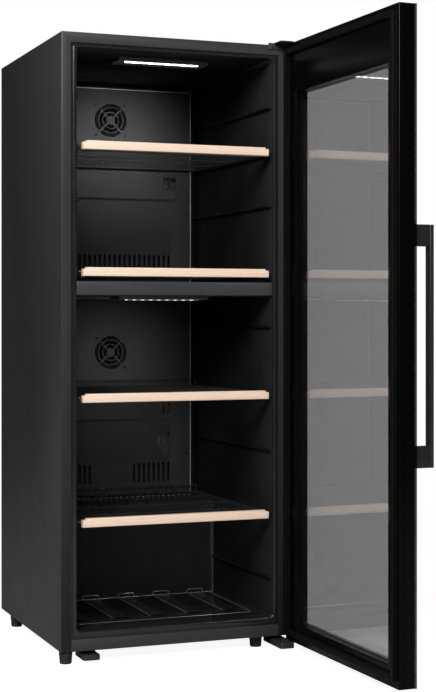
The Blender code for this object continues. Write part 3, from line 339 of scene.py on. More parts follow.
@dataclass(frozen=True)
class MouldedRubber(Finish):
    """Moulded or extruded black rubber: matt, with a dusty bloom and a fine stipple."""

    # The real stipple is about 0.2 mm. It is drawn coarser, so that it shows.
    stipple_mm: float = 0.7
    bloom: str = "3A3A39"

    def pattern(self, tree: bpy.types.NodeTree, shader: bpy.types.Node, place: bpy.types.NodeSocket) -> None:
        """Adds the stipple and the bloom."""
        self.uneven_gloss(tree, shader, place)
        stipple = add_node(
            tree, "ShaderNodeTexNoise", {"Scale": 1 / (self.stipple_mm * MM), "Detail": 2.0}, {"Vector": place}
        )
        self.relief(tree, shader, stipple.outputs["Fac"], 0.05, 0.4)
        dust = add_node(tree, "ShaderNodeTexNoise", {"Scale": 1 / (25 * MM), "Detail": 6.0}, {"Vector": place})
        share = add_node(
            tree, "ShaderNodeMapRange", {"From Min": 0.5, "From Max": 0.8, "To Min": 0.0, "To Max": 0.3},
            {"Value": dust.outputs["Fac"]},
        )
        self.two_tones(tree, shader, share.outputs["Result"], self.bloom)


@dataclass(frozen=True)
class GalvanisedSteel(Finish):
    """Hot-dipped zinc on steel: pale grey crystals of slightly different tone and shine."""

    spangle_mm: float = 9.0
    dull: str = "8B8F92"

    def pattern(self, tree: bpy.types.NodeTree, shader: bpy.types.Node, place: bpy.types.NodeSocket) -> None:
        """Adds the spangle to the colour and the gloss."""
        spangle = add_node(
            tree, "ShaderNodeTexVoronoi", {"Scale": 1 / (self.spangle_mm * MM)}, {"Vector": place}
        )
        tone = add_node(tree, "ShaderNodeSeparateColor", {}, {0: spangle.outputs["Color"]})
        self.two_tones(tree, shader, tone.outputs["Red"], self.dull)
        gloss = add_node(
            tree, "ShaderNodeMapRange",
            {"To Min": self.roughness - 2 * self.roughness_swing,
             "To Max": self.roughness + 2 * self.roughness_swing},
            {"Value": tone.outputs["Green"]},
        )
        tree.links.new(gloss.outputs["Result"], shader.inputs["Roughness"])


@dataclass(frozen=True)
class BrushedMetal(Finish):
    """Metal brushed or drawn along one axis: fine lines that stretch the highlight."""

    # Real brush lines are about 0.1 mm apart. They are drawn five times as coarse, so that they show.
    line_mm: float = 0.5
    line_length: float = 60.0
    along: str = "Z"

    def pattern(self, tree: bpy.types.NodeTree, shader: bpy.types.Node, place: bpy.types.NodeSocket) -> None:
        """Adds the brush lines to the gloss and the relief."""
        scale = [1.0, 1.0, 1.0]
        scale["XYZ".index(self.along)] = 1 / self.line_length
        drawn = add_node(tree, "ShaderNodeMapping", {"Scale": scale}, {"Vector": place}).outputs["Vector"]
        lines = add_node(
            tree, "ShaderNodeTexNoise", {"Scale": 1 / (self.line_mm * MM), "Detail": 2.0}, {"Vector": drawn}
        )
        gloss = add_node(
            tree, "ShaderNodeMapRange",
            {"From Min": 0.3, "From Max": 0.7, "To Min": self.roughness - self.roughness_swing,
             "To Max": self.roughness + self.roughness_swing},
            {"Value": lines.outputs["Fac"]},
        )
        tree.links.new(gloss.outputs["Result"], shader.inputs["Roughness"])
        self.relief(tree, shader, lines.outputs["Fac"], 0.02, 0.4)


@dataclass(frozen=True)
class OpalAcrylic(Finish):
    """Opal acrylic over a row of diodes: an even white glow with a hot spot at each diode."""

    diode_pitch_mm: float = 22.0
    glow: float = 12.0
    between: str = "C9DCFF"
    between_share: float = 0.45

    def pattern(self, tree: bpy.types.NodeTree, shader: bpy.types.Node, place: bpy.types.NodeSocket) -> None:
        """Adds the glow and its hot spots. The row runs along X."""
        row = add_node(
            tree, "ShaderNodeTexWave",
            {"bands_direction": "X", "Scale": math.tau / (20 * self.diode_pitch_mm * MM), "wave_profile": "SIN"},
            {"Vector": place},
        )
        spots = add_node(
            tree, "ShaderNodeMapRange", {"From Min": 0.4, "From Max": 0.95}, {"Value": row.outputs["Fac"]}
        )
        mixed = add_node(
            tree, "ShaderNodeMix",
            {"data_type": "RGBA", 6: [c * self.between_share for c in linear(self.between)], 7: linear("FFFFFF")},
            {0: spots.outputs["Result"]},
        )
        tree.links.new(mixed.outputs[2], shader.inputs["Emission Color"])
        shader.inputs["Emission Strength"].default_value = self.glow


@dataclass(frozen=True)
class RigidFoam(Finish):
    """Polyurethane foam poured between liner and casing: yellow, with open cells and darker skin."""

    cell_mm: float = 2.2
    skin: str = "C9A24E"

    def pattern(self, tree: bpy.types.NodeTree, shader: bpy.types.Node, place: bpy.types.NodeSocket) -> None:
        """Adds the cells and the skin."""
        cells = add_node(tree, "ShaderNodeTexVoronoi", {"Scale": 1 / (self.cell_mm * MM)}, {"Vector": place})
        self.relief(tree, shader, cells.outputs["Distance"], 0.6, 0.8)
        clouds = add_node(tree, "ShaderNodeTexNoise", {"Scale": 1 / (70 * MM), "Detail": 4.0}, {"Vector": place})
        self.two_tones(tree, shader, clouds.outputs["Fac"], self.skin)


@dataclass(frozen=True)
class PrintedCircuit(Finish):
    """Glass-epoxy board under green solder mask, with paler copper tracks that show through."""

    track_mm: float = 2.5
    track: str = "2F8A4A"

    def pattern(self, tree: bpy.types.NodeTree, shader: bpy.types.Node, place: bpy.types.NodeSocket) -> None:
        """Adds the tracks."""
        grid = add_node(
            tree, "ShaderNodeTexBrick",
            {"Scale": 1 / (self.track_mm * MM), "Mortar Size": 0.12, "Brick Width": 3.0, "Row Height": 1.0},
            {"Vector": place},
        )
        self.two_tones(tree, shader, grid.outputs["Fac"], self.track)


@dataclass(frozen=True)
class PaintedFloor(Finish):
    """Matt white floor paint, lit from below where it is looked at, so that it fades into the white surround."""

    lift: float = 0.92

    def pattern(self, tree: bpy.types.NodeTree, shader: bpy.types.Node, place: bpy.types.NodeSocket) -> None:
        """Adds uneven gloss and the lift, which lights nothing but the view, also through glass."""
        self.uneven_gloss(tree, shader, place)
        path = add_node(tree, "ShaderNodeLightPath", {})
        seen = add_node(
            tree, "ShaderNodeMath", {"operation": "MAXIMUM"},
            {0: path.outputs["Is Camera Ray"], 1: path.outputs["Is Transmission Ray"]},
        )
        lift = add_node(tree, "ShaderNodeMath", {"operation": "MULTIPLY", 1: self.lift}, {0: seen.outputs["Value"]})
        shader.inputs["Emission Color"].default_value = linear("FFFFFF")
        tree.links.new(lift.outputs["Value"], shader.inputs["Emission Strength"])


class Finishes(Enum):
    """Every finish on the cooler and under it."""

    CASING = PowderCoat("powder_coated_steel_black", "303032", 0.45, specular=0.42, roughness_swing=0.015)
    HINGE = PowderCoat("powder_coated_hinge_steel", "262627", 0.45, peel_mm=1.2)
    LINER = VacuumFormedPolystyrene("vacuum_formed_polystyrene_black", "0C0C0D", 0.44, specular=0.25)
    LIP = VacuumFormedPolystyrene(
        "vacuum_formed_polystyrene_drawn_edge", "1C1C1E", 0.2, specular=0.7, cell_depth_mm=0.015
    )
    DUCT = MouldedAbs("moulded_polystyrene_duct", "2D2D2E", 0.6, specular=0.15)
    # Pale, shiny beads along the floor's folds, rib edges and back corner, both colours paler than the liner: a
    # painted highlight, the thin bright lines that these folds catch.
    CREASE = VacuumFormedPolystyrene(
        "polystyrene_painted_highlight_lines", "58595C", 0.16, specular=0.8, cell_depth_mm=0.01,
        stress_colour="707175",
    )
    # A pale strip round the duct panel's edge: a painted highlight, the bright line that the panel's rounded edge
    # shows.
    PAINTED_EDGE_HIGHLIGHT = MouldedAbs("painted_highlight_panel_edge", "B4B6BA", 0.3)
    DIVIDER = MouldedAbs("moulded_abs_divider_grey", "37373A", 0.38)
    GREY_ABS = MouldedAbs("moulded_abs_grey", "5F6062", 0.5)
    BLACK_ABS = MouldedAbs("moulded_abs_black", "0C0C0D", 0.42)
    GLOSS_ABS = MouldedAbs(
        "polished_abs_black", "030303", 0.24, specular=0.14, roughness_swing=0.015, spark_depth_mm=0.002
    )
    GLASS = ToughenedGlass("toughened_tinted_glass", "BDBDBD", 0.0, ior=1.52)
    BEECH = SteamedBeech("oiled_steamed_beech", "F6DDC8", 0.48, ior=1.5)
    WIRE = DippedWire("polyethylene_dipped_wire", "29292B", 0.2)
    GASKET = MouldedRubber("extruded_magnetic_gasket", "050505", 0.6, specular=0.15, bloom="0A0A0A")
    RUBBER = MouldedRubber("moulded_rubber_foot", "1B1B1B", 0.7)
    ZINC = GalvanisedSteel("galvanised_steel_sheet", "A9ADB0", 0.42, metallic=1.0)
    BRIGHT = BrushedMetal("bright_drawn_steel", "C4C5C7", 0.28, metallic=1.0, along="Z")
    SCREW = BrushedMetal("black_oxide_screw_steel", "3A3A3B", 0.4, metallic=1.0, along="X")
    HANDLE = BrushedMetal("dark_anodised_aluminium", "46474A", 0.38, metallic=0.85, along="Z")
    SPACER = BrushedMetal("black_anodised_spacer", "141414", 0.4, metallic=0.7, along="Z")
    EVAPORATOR = BrushedMetal("roll_bonded_aluminium", "B9BBBD", 0.38, metallic=1.0, along="X")
    COPPER = BrushedMetal("drawn_copper_tube", "C17A55", 0.32, metallic=1.0, along="X")
    COMPRESSOR = PowderCoat("enamelled_compressor_shell", "18181A", 0.3, peel_mm=2.4)
    LENS = OpalAcrylic("opal_acrylic_diffuser", "F4F7FF", 0.35)
    DIM_LENS = OpalAcrylic("opal_acrylic_diffuser_dim", "8F9296", 0.35, glow=2.5, between_share=0.1)
    FOAM = RigidFoam("poured_polyurethane_foam", "D9BE78", 0.9)
    BOARD = PrintedCircuit("glass_epoxy_circuit_board", "14622E", 0.35)
    FLOOR = PaintedFloor("matt_white_studio_floor", "A8A8A8", 0.8, patch_mm=400.0)


# Mesh making
class Plane(Enum):
    """Where a flat outline (u, v) with its thickness w lies."""

    FRONT = "xz"
    TOP = "xy"

    def point(self, u: float, v: float, w: float) -> Point3:
        """A point of the outline in space."""
        return (u, w, v) if self is Plane.FRONT else (u, v, w)


def rounded_rect(low: Point2, high: Point2, radius: float, steps: int = 4) -> Loop:
    """A rectangle with rounded corners, anticlockwise.

    Args:
        low: The corner with the lowest values.
        high: The corner with the highest values.
        radius: The corner radius. 0 gives plain corners.
        steps: How many edges a corner has.

    Returns:
        The outline's points.
    """
    if radius <= 0:
        return [low, (high[0], low[1]), high, (low[0], high[1])]
    centres = [
        (high[0] - radius, low[1] + radius), (high[0] - radius, high[1] - radius),
        (low[0] + radius, high[1] - radius), (low[0] + radius, low[1] + radius),
    ]
    return [
        (x + radius * math.cos(a), y + radius * math.sin(a))
        for corner, (x, y) in enumerate(centres)
        for a in (math.pi / 2 * (corner - 1 + i / steps) for i in range(steps + 1))
    ]


def circle(centre: Point2, radius: float, steps: int = 24) -> Loop:
    """A circle as an anticlockwise loop."""
    return [
        (centre[0] + radius * math.cos(math.tau * i / steps), centre[1] + radius * math.sin(math.tau * i / steps))
        for i in range(steps)
    ]


def ring_slot(centre: Point2, inner: float, outer: float, start: float, stop: float, steps: int = 8) -> Loop:
    """A curved slot between two radii and two angles.

    Args:
        centre: The middle of the circles.
        inner: The smaller radius.
        outer: The larger radius.
        start: The first angle, in radians.
        stop: The last angle.
        steps: How many edges each arc has.

    Returns:
        The slot's outline, anticlockwise.
    """
    angles = [start + (stop - start) * i / steps for i in range(steps + 1)]
    arc = [(outer * math.cos(a), outer * math.sin(a)) for a in angles]
    arc += [(inner * math.cos(a), inner * math.sin(a)) for a in reversed(angles)]
    return [(centre[0] + x, centre[1] + y) for x, y in arc]


def inset(loop: Loop, distance: float) -> Loop:
    """Moves each edge of an anticlockwise loop inwards, or outwards where the distance is negative.

    Args:
        loop: The outline.
        distance: How far each edge moves.

    Returns:
        The moved outline, point for point.
    """
    moved = []
    for i, here in enumerate(loop):
        before, after = Vector(loop[i - 1]), Vector(loop[(i + 1) % len(loop)])
        into, out = (Vector(here) - before).normalized(), (after - Vector(here)).normalized()
        normal = Vector((-into.y - out.y, into.x + out.x)).normalized()
        reach = distance / max(normal.dot(Vector((-into.y, into.x))), 0.4)
        moved.append((here[0] + normal.x * reach, here[1] + normal.y * reach))
    return moved


def filleted(points: list[Point3], radius: float, steps: int = 4) -> list[Point3]:
    """An open path with its inner corners rounded.

    Args:
        points: The path's corners.
        radius: How far from a corner the bend starts.
        steps: How many edges a bend has.

    Returns:
        The path's points.
    """
    path = [points[0]]
    for before, here, after in zip(points, points[1:], points[2:]):
        a, b, c = Vector(before), Vector(here), Vector(after)
        start, end = b + (a - b).normalized() * radius, b + (c - b).normalized() * radius
        for i in range(steps + 1):
            t = i / steps
            path.append(tuple(start * (1 - t) ** 2 + b * 2 * t * (1 - t) + end * t**2))
    path.append(points[-1])
    return path


class Shape:
    """A mesh in the making. Each method adds one form and returns the shape, so that calls can be chained."""

    def __init__(self) -> None:
        """Starts empty."""
        self.mesh = bmesh.new()

    def block(self, low: Point3, high: Point3, radius: float = 0.0, steps: int = 2) -> "Shape":
        """Adds a box with every edge rounded.

        Args:
            low: The lowest corner.
            high: The highest corner.
            radius: The edge radius.
            steps: How many faces an edge has.

        Returns:
            The shape.
        """
        size = [b - a for a, b in zip(low, high)]
        middle = [(a + b) / 2 for a, b in zip(low, high)]
        matrix = Matrix.Translation(middle) @ Matrix.Diagonal((*size, 1.0))
        verts = bmesh.ops.create_cube(self.mesh, size=1.0, matrix=matrix)["verts"]
        if radius:
            edges = list({edge for vert in verts for edge in vert.link_edges})
            bmesh.ops.bevel(
                self.mesh, geom=edges, offset=min(radius, min(size) * 0.45), segments=steps, profile=0.5,
                affect="EDGES",
            )
        return self

    def sheet(
        self,
        outline: Loop,
        holes: Iterable[Loop],
        low: float,
        high: float,
        plane: Plane = Plane.FRONT,
        edge: float = 0.0,
        steps: int = 2,
    ) -> "Shape":
        """Adds a plate with holes, its edges rounded on both faces.

        Args:
            outline: The plate's outline, anticlockwise.
            holes: The holes' outlines, anticlockwise.
            low: Where the plate starts across its plane.
            high: Where it ends.
            plane: The plane that it lies in.
            edge: The edge radius.
            steps: How many faces an edge has.

        Returns:
            The shape.
        """
        loops = [(outline, 1.0)] + [(hole, -1.0) for hole in holes]
        turns = [math.pi / 2 * i / steps for i in range(steps + 1)] if edge else [math.pi / 2]
        levels = [(edge * (1 - math.sin(t)), low + edge * (1 - math.cos(t))) for t in turns]
        levels += [(gap, low + high - w) for gap, w in reversed(levels)]
        caps: list[list[list[bmesh.types.BMVert]]] = [[], []]
        for loop, sign in loops:
            rows = []
            for gap, w in levels:
                moved = inset(loop, sign * gap) if gap > 1e-9 else loop
                rows.append([self.mesh.verts.new(plane.point(u, v, w)) for u, v in moved])
            for first, second in zip(rows, rows[1:]):
                for i in range(len(first)):
                    j = (i + 1) % len(first)
                    self.mesh.faces.new((first[i], first[j], second[j], second[i]))
            caps[0].append(rows[0])
            caps[1].append(rows[-1])
        for cap in caps:
            flat = [vert for loop in cap for vert in loop]
            for triangle in tessellate_polygon([[vert.co for vert in loop] for loop in cap]):
                corners = [flat[i] for i in triangle]
                if len(set(corners)) == 3 and self.mesh.faces.get(corners) is None:
                    self.mesh.faces.new(corners)
        return self

    def ring(
        self,
        low: Point2,
        high: Point2,
        corner: float,
        profile: list[Point2],
        plane: Plane = Plane.FRONT,
        steps: int = 4,
    ) -> "Shape":
        """Adds a closed profile swept round a rectangle.

        Args:
            low: The rectangle's lowest corner.
            high: Its highest corner.
            corner: The corner radius of the rectangle itself.
            profile: Points (distance in from the rectangle, place across its plane) of the profile.
            plane: The plane that the rectangle lies in.
            steps: How many edges a corner has.

        Returns:
            The shape.
        """
        rows = []
        for gap, w in profile:
            loop = rounded_rect(
                (low[0] + gap, low[1] + gap), (high[0] - gap, high[1] - gap), max(corner - gap, 0.0004), steps
            )
            rows.append([self.mesh.verts.new(plane.point(u, v, w)) for u, v in loop])
        for first, second in zip(rows, rows[1:] + rows[:1]):
            for i in range(len(first)):
                j = (i + 1) % len(first)
                self.mesh.faces.new((first[i], first[j], second[j], second[i]))
        return self

    def wires(self, paths: Iterable[list[Point3]], radius: float, cyclic: bool = False, sides: int = 2) -> "Shape":
        """Adds round wires along paths.

        Args:
            paths: The wires' middle lines.
            radius: The wires' radius.
            cyclic: True where each path closes on itself.
            sides: The bevel resolution. 2 gives eight sides.

        Returns:
            The shape.
        """
        curve = bpy.data.curves.new("wires", "CURVE")
        curve.dimensions = "3D"
        curve.bevel_depth = radius
        curve.bevel_resolution = sides
        curve.use_fill_caps = True
        for path in paths:
            spline = curve.splines.new("POLY")
            spline.points.add(len(path) - 1)
            for point, at in zip(spline.points, path):
                point.co = (*at, 1.0)
            spline.use_cyclic_u = cyclic
        holder = bpy.data.objects.new("wires", curve)
        swept = bpy.data.meshes.new_from_object(holder)
        self.mesh.from_mesh(swept)
        bpy.data.objects.remove(holder)
        bpy.data.curves.remove(curve)
        bpy.data.meshes.remove(swept)
        return self

    def turned(self, profile: list[Point2], at: Point3, axis: str = "Z", steps: int = 32) -> "Shape":
        """Adds a profile turned about an axis.

        Args:
            profile: Points (radius, height), of which the first and last may lie on the axis.
            at: The point on the axis that heights are counted from.
            axis: X, Y or Z.
            steps: How many faces go round.

        Returns:
            The shape.
        """
        order = {"X": (2, 0, 1), "Y": (0, 2, 1), "Z": (0, 1, 2)}[axis]
        rows = []
        for radius, height in profile:
            count = steps if radius > 1e-7 else 1
            row = []
            for i in range(count):
                local = (radius * math.cos(math.tau * i / steps), radius * math.sin(math.tau * i / steps), height)
                row.append(self.mesh.verts.new([at[k] + local[order[k]] for k in range(3)]))
            rows.append(row)
        for first, second in zip(rows, rows[1:]):
            for i in range(steps):
                j = (i + 1) % steps
                corners = [first[k % len(first)] for k in (i, j)] + [second[k % len(second)] for k in (j, i)]
                unique = list(dict.fromkeys(corners))
                if len(unique) > 2:
                    self.mesh.faces.new(unique)
        return self

    def screw_head(self, at: Point3, radius: float, rise: float, out: Point3 = (0.0, -1.0, 0.0)) -> "Shape":
        """Adds a pan head with a cross recess.

        Args:
            at: The middle of the head's seat.
            radius: The head's radius.
            rise: How far it stands off its seat.
            out: Which way it faces.

        Returns:
            The shape.
        """
        start = len(self.mesh.verts)
        long, short = radius * 0.55, radius * 0.14
        cross = [
            (long, short), (short, short), (short, long), (-short, long), (-short, short), (-long, short),
            (-long, -short), (-short, -short), (-short, -long), (short, -long), (short, -short), (long, -short),
        ]
        self.sheet(circle((0, 0), radius, 20), [cross], 0.3 * rise, rise, Plane.TOP, rise * 0.3)
        self.sheet(circle((0, 0), radius, 20), [], 0.0, 0.35 * rise, Plane.TOP)
        self.mesh.verts.ensure_lookup_table()
        turn = Vector((0, 0, 1)).rotation_difference(Vector(out)).to_matrix().to_4x4()
        bmesh.ops.transform(self.mesh, verts=self.mesh.verts[start:], matrix=Matrix.Translation(at) @ turn)
        return self

    def moved(self, matrix: Matrix) -> "Shape":
        """Moves all that has been added so far."""
        bmesh.ops.transform(self.mesh, verts=self.mesh.verts, matrix=matrix)
        return self

    def piece(self, name: str, finish: Finishes, closed: bool = True, smooth_deg: float = 38.0) -> bpy.types.Object:
        """Turns the shape into an object.

        Args:
            name: The object's name.
            finish: What it is made of.
            closed: False for an open skin, whose faces already look the right way.
            smooth_deg: Edges sharper than this stay sharp.

        Returns:
            The object, linked to the scene.
        """
        if closed:
            bmesh.ops.recalc_face_normals(self.mesh, faces=self.mesh.faces)
        mesh = bpy.data.meshes.new(name)
        self.mesh.to_mesh(mesh)
        self.mesh.free()
        mesh.shade_smooth()
        mesh.set_sharp_from_angle(angle=math.radians(smooth_deg))
        mesh.materials.append(finish.value.material())
        made = bpy.data.objects.new(name, mesh)
        bpy.context.scene.collection.objects.link(made)
        return made


# Handing pieces to the frame
def hand_over(piece: bpy.types.Object, body: str, slot: str, *nodes: str) -> None:
    """Gives a piece its body, hides the CAD nodes that it stands for and logs them.

    Args:
        piece: The finished piece.
        body: The CAD body that it moves with.
        slot: Not used.
        nodes: The CAD nodes that it stands for.
    """
    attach(piece, body)
    if nodes:
        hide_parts(*nodes)
    LOG.info("%s rides on %s and stands for %s", piece.name, body, ", ".join(nodes) or "nothing in the CAD")


def dress(finish: Finishes, *nodes: str) -> None:
    """Gives CAD nodes, whose shape stays, a finish of their own.

    Args:
        finish: The finish.
        nodes: The nodes' names.
    """
    for node in nodes:
        for i in range(len(frame["nodes"][node].data.materials)):
            frame["nodes"][node].data.materials[i] = finish.value.material()
        LOG.info("%s keeps its CAD shape in %s", node, finish.value.name)


def thicken(piece: bpy.types.Object, thickness: float) -> None:
    """Gives an open skin its thickness, on the side away from its normals."""
    modifier = piece.modifiers.new("Thickness", "SOLIDIFY")
    modifier.thickness = thickness
    modifier.offset = -1.0


# Cabinet
@dataclass
class Casing:
    """Folded sheet casing: sides, top, and the returns that make the front posts and the top rail."""

    post_w: float = 0.025
    top_rail: float = 0.026
    sheet: float = 0.001
    edge_r: float = 0.003
    hem: float = 0.004
    hem_r: float = 0.0012

    def skin(self) -> bpy.types.Object:
        """The outer skin, open at the back, the bottom and the door opening."""
        low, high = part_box("outer_casing")
        x = (low.x, low.x + self.post_w, high.x - self.post_w, high.x)
        rail, inward = high.z - self.top_rail, low.y + self.hem
        shape = Shape()
        corner = {
            name: shape.mesh.verts.new(at)
            for name, at in {
                "A": (x[0], low.y, low.z), "B": (x[0], low.y, high.z), "C": (x[3], low.y, high.z),
                "D": (x[3], low.y, low.z), "a": (x[1], low.y, low.z), "b": (x[1], low.y, rail),
                "c": (x[2], low.y, rail), "d": (x[2], low.y, low.z), "E": (x[0], high.y, low.z),
                "F": (x[0], high.y, high.z), "G": (x[3], high.y, high.z), "H": (x[3], high.y, low.z),
                "p": (x[1], inward, low.z), "q": (x[1], inward, rail), "r": (x[2], inward, rail),
                "s": (x[2], inward, low.z),
            }.items()
        }
        for face in ("AabB", "BbcC", "CcdD", "ABFE", "BCGF", "DHGC", "apqb", "bqrc", "dcrs"):
            shape.mesh.faces.new([corner[name] for name in face])
        for pairs, radius, steps in (
            (("AB", "BC", "CD", "BF", "CG"), self.edge_r, 5), (("ab", "bc", "cd"), self.hem_r, 2),
        ):
            chosen = [
                edge for edge in shape.mesh.edges
                if any({corner[p[0]], corner[p[1]]} == set(edge.verts) for p in pairs)
            ]
            bmesh.ops.bevel(shape.mesh, geom=chosen, offset=radius, segments=steps, profile=0.5, affect="EDGES")
        made = shape.piece("casing_skin", Finishes.CASING, closed=False)
        thicken(made, self.sheet)
        return made

    def build(self) -> None:
        """Builds the skin and the bottom rail, and dresses the base."""
        hand_over(self.skin(), "cabinet", "painted_steel", "outer_casing")
        low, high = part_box("front_bottom_rail")
        rail = Shape().block(low, high, 0.0015).piece("bottom_rail", Finishes.CASING)
        hand_over(rail, "cabinet", "painted_steel", "front_bottom_rail")
        dress(Finishes.ZINC, "base_plate", "compressor_tray")
        dress(Finishes.FOAM, "foam_insulation")


@dataclass
class RearPanels:
    """Galvanised back and the louvred cover of the compressor bay, with sunk screws round their edges."""

    screw_r: float = 0.0036
    screw_in: float = 0.009
    vent_w: float = 0.005
    vent_h: float = 0.120
    vent_pitch: float = 0.014
    vents: int = 17
    vents_right: float = 0.065

    def screw_places(self, low: Vector, high: Vector, rows: int) -> list[Point2]:
        """Where the screws sit: rows down each side of a panel."""
        return [
            (x, low.z + 0.012 + (high.z - low.z - 0.024) * i / (rows - 1))
            for x in (low.x + self.screw_in, high.x - self.screw_in) for i in range(rows)
        ]

    def panel(self, name: str, node: str, rows: int, holes: list[Loop]) -> bpy.types.Object:
        """A panel with its screws in sunk holes.

        Args:
            name: The piece's name.
            node: The CAD node that gives its box.
            rows: How many screws go down each side.
            holes: Other openings.

        Returns:
            The piece.
        """
        low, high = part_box(node)
        places = self.screw_places(low, high, rows)
        outline = rounded_rect((low.x, low.z), (high.x, high.z), 0.0025)
        seats = [circle(at, self.screw_r + 0.0006, 16) for at in places]
        shape = Shape().sheet(outline, holes + seats, low.y, high.y, edge=0.0003)
        for x, z in places:
            shape.screw_head((x, low.y, z), self.screw_r, high.y - low.y - 0.0001, (0, 1, 0))
        return shape.piece(name, Finishes.ZINC)

    def build(self) -> None:
        """Builds the back and the bay's cover."""
        back = self.panel("back_sheet", "rear_panel", 6, [])
        hand_over(back, "cabinet", "zinc_steel", "rear_panel")
        low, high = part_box("compressor_cover")
        middle = (low.x + high.x) / 2 + self.vents_right
        places = [middle + (i - (self.vents - 1) / 2) * self.vent_pitch for i in range(self.vents)]
        bottom, top = ((low.z + high.z + side * self.vent_h) / 2 for side in (-1, 1))
        half = self.vent_w / 2
        vents = [rounded_rect((x - half, bottom), (x + half, top), half - 0.0001, 4) for x in places]
        inlet_low, inlet_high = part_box("mains_inlet")
        vents.append(rounded_rect((inlet_low.x, inlet_low.z), (inlet_high.x, inlet_high.z), 0.002))
        cover = self.panel("bay_cover", "compressor_cover", 3, vents)
        hand_over(cover, "cabinet", "zinc_steel", "compressor_cover")


@dataclass
class Liner:
    """Vacuum-formed tub with its lip, the ribbed floor and the ledges that the shelves slide on."""

    front: float = 0.003
    lip_h: float = 0.048
    floor_h: float = 0.038
    rib_h: float = 0.008
    rib_w: float = 0.045
    rib_pitch: float = 0.100
    rib_front: float = 0.150
    sunk: float = 0.004
    sill_d: float = 0.085
    skin: float = 0.002
    corner_r: float = 0.012
    hump_r: float = 0.0035
    highlight_line_r: float = 0.0009
    fold_in: float = 0.005
    rib_rise: float = 0.010
    floor_line_left: float = 0.030
    floor_line_right: float = 0.018
    floor_line_front: float = 0.0975
    groove: float = 0.0045
    post_w: float = 0.025
    top_rail: float = 0.026
    bottom_rail: float = 0.0285
    bead_d: float = 0.0055
    flange_d: float = 0.0015
    flange_lap: float = 0.010
    ledge_in: float = 0.008
    ledge_h: float = 0.006
    ledge_front: float = 0.012
    ledge_back: float = 0.575
    levels: tuple[float, ...] = (1.2277, 0.9200, 0.6125, 0.3103, 0.151, 0.4755, 0.7905, 1.0965, 1.347)
    wire: float = 0.005
    gap: float = 0.0003

    def __post_init__(self) -> None:
        """Reads the cavity from its neighbours' boxes."""
        self.case_low, self.case_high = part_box("outer_casing")
        divider_low, divider_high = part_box("zone_divider")
        self.left, self.right = divider_low.x - self.gap, divider_high.x + self.gap
        self.back = divider_high.y + self.gap
        self.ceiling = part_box("ceiling_lamp_housing")[1].z + self.gap
        self.hump_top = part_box("lower_duct_panel")[0].z - self.gap
        self.hump_front = self.case_low.y + 0.4213
        self.floor = self.case_low.z + self.floor_h

    def on_crest(self, edge: bmesh.types.BMEdge) -> bool:
        """True for the hump's top front edge, which is rounded less because the foam stands close behind it."""
        return all(
            abs(v.co.y - self.hump_front) + abs(v.co.z - self.hump_top) < self.gap / 10 for v in edge.verts
        )

    def tub(self) -> bpy.types.Object:
        """The cavity's skin: the side profile drawn across, with every inner edge rounded."""
        front = self.case_low.y + self.front
        profile = [
            (front, self.floor), (self.hump_front, self.floor), (self.hump_front, self.hump_top),
            (self.back, self.hump_top), (self.back, self.ceiling), (front, self.ceiling),
        ]
        shape = Shape()
        sides = [[shape.mesh.verts.new((x, y, z)) for y, z in profile] for x in (self.left, self.right)]
        shape.mesh.faces.new(sides[0])
        shape.mesh.faces.new(sides[1])
        for i in range(len(profile)):
            j = (i + 1) % len(profile)
            shape.mesh.faces.new((sides[0][i], sides[0][j], sides[1][j], sides[1][i]))
        bmesh.ops.recalc_face_normals(shape.mesh, faces=shape.mesh.faces)
        opening = [f for f in shape.mesh.faces if all(v.co.y < front + self.gap for v in f.verts)]
        bmesh.ops.delete(shape.mesh, geom=opening, context="FACES_ONLY")
        rest = [edge for edge in shape.mesh.edges if not edge.is_boundary and not self.on_crest(edge)]
        bmesh.ops.bevel(shape.mesh, geom=rest, offset=self.corner_r, segments=5, profile=0.5, affect="EDGES")
        crest = [edge for edge in shape.mesh.edges if self.on_crest(edge)]
        bmesh.ops.bevel(shape.mesh, geom=crest, offset=self.hump_r, segments=3, profile=0.5, affect="EDGES")
        bmesh.ops.reverse_faces(shape.mesh, faces=shape.mesh.faces)
        made = shape.piece("liner_tub", Finishes.LINER, closed=False, smooth_deg=50)
        thicken(made, self.skin)
        return made

    def lip(self) -> bpy.types.Object:
        """The rounded bead round the opening and the flange that the foam holds behind the posts."""
        inset_side = self.post_w + self.groove
        low = (self.case_low.x + inset_side, self.case_low.z + self.bottom_rail + self.groove)
        high = (self.case_high.x - inset_side, self.case_high.z - self.top_rail - self.groove)
        hole = rounded_rect(
            (self.left, self.case_low.z + self.lip_h), (self.right, self.ceiling), self.corner_r, 6
        )
        y = self.case_low.y
        shape = Shape().sheet(rounded_rect(low, high, 0.008, 6), [hole], y, y + self.bead_d, edge=0.0024, steps=4)
        lap = self.flange_lap
        flange = rounded_rect((low[0] - lap, low[1] - lap / 2), (high[0] + lap, high[1] + lap), 0.002)
        shape.sheet(flange, [hole], y + self.bead_d - self.flange_d, y + self.bead_d)
        return shape.piece("liner_lip", Finishes.LIP)

    def ribs(self) -> list[float]:
        """Where the ribs' middles are, from left to right."""
        count = int((self.right - self.left - self.corner_r) // self.rib_pitch)
        middle = (self.left + self.right) / 2
        return [middle + (i - (count - 1) / 2) * self.rib_pitch for i in range(count)]

    def floor_forms(self) -> bpy.types.Object:
        """The sill behind the lip, the flat behind it and the ribs that bottles stand on."""
        y, z = self.case_low.y, self.case_low.z
        rib_top = self.floor + self.rib_h
        under = self.floor - self.sunk
        shape = Shape()
        for front, back, top in (
            (self.front, self.sill_d, z + self.lip_h), (self.sill_d - 0.01, self.rib_front, rib_top),
        ):
            shape.block((self.left, y + front, under), (self.right, y + back, top), 0.003, 3)
        for x in self.ribs():
            shape.block(
                (x - self.rib_w / 2, y + self.rib_front - 0.02, under),
                (x + self.rib_w / 2, self.hump_front + 0.001, rib_top), 0.005, 4,
            )
        return shape.piece("liner_floor", Finishes.LIP)

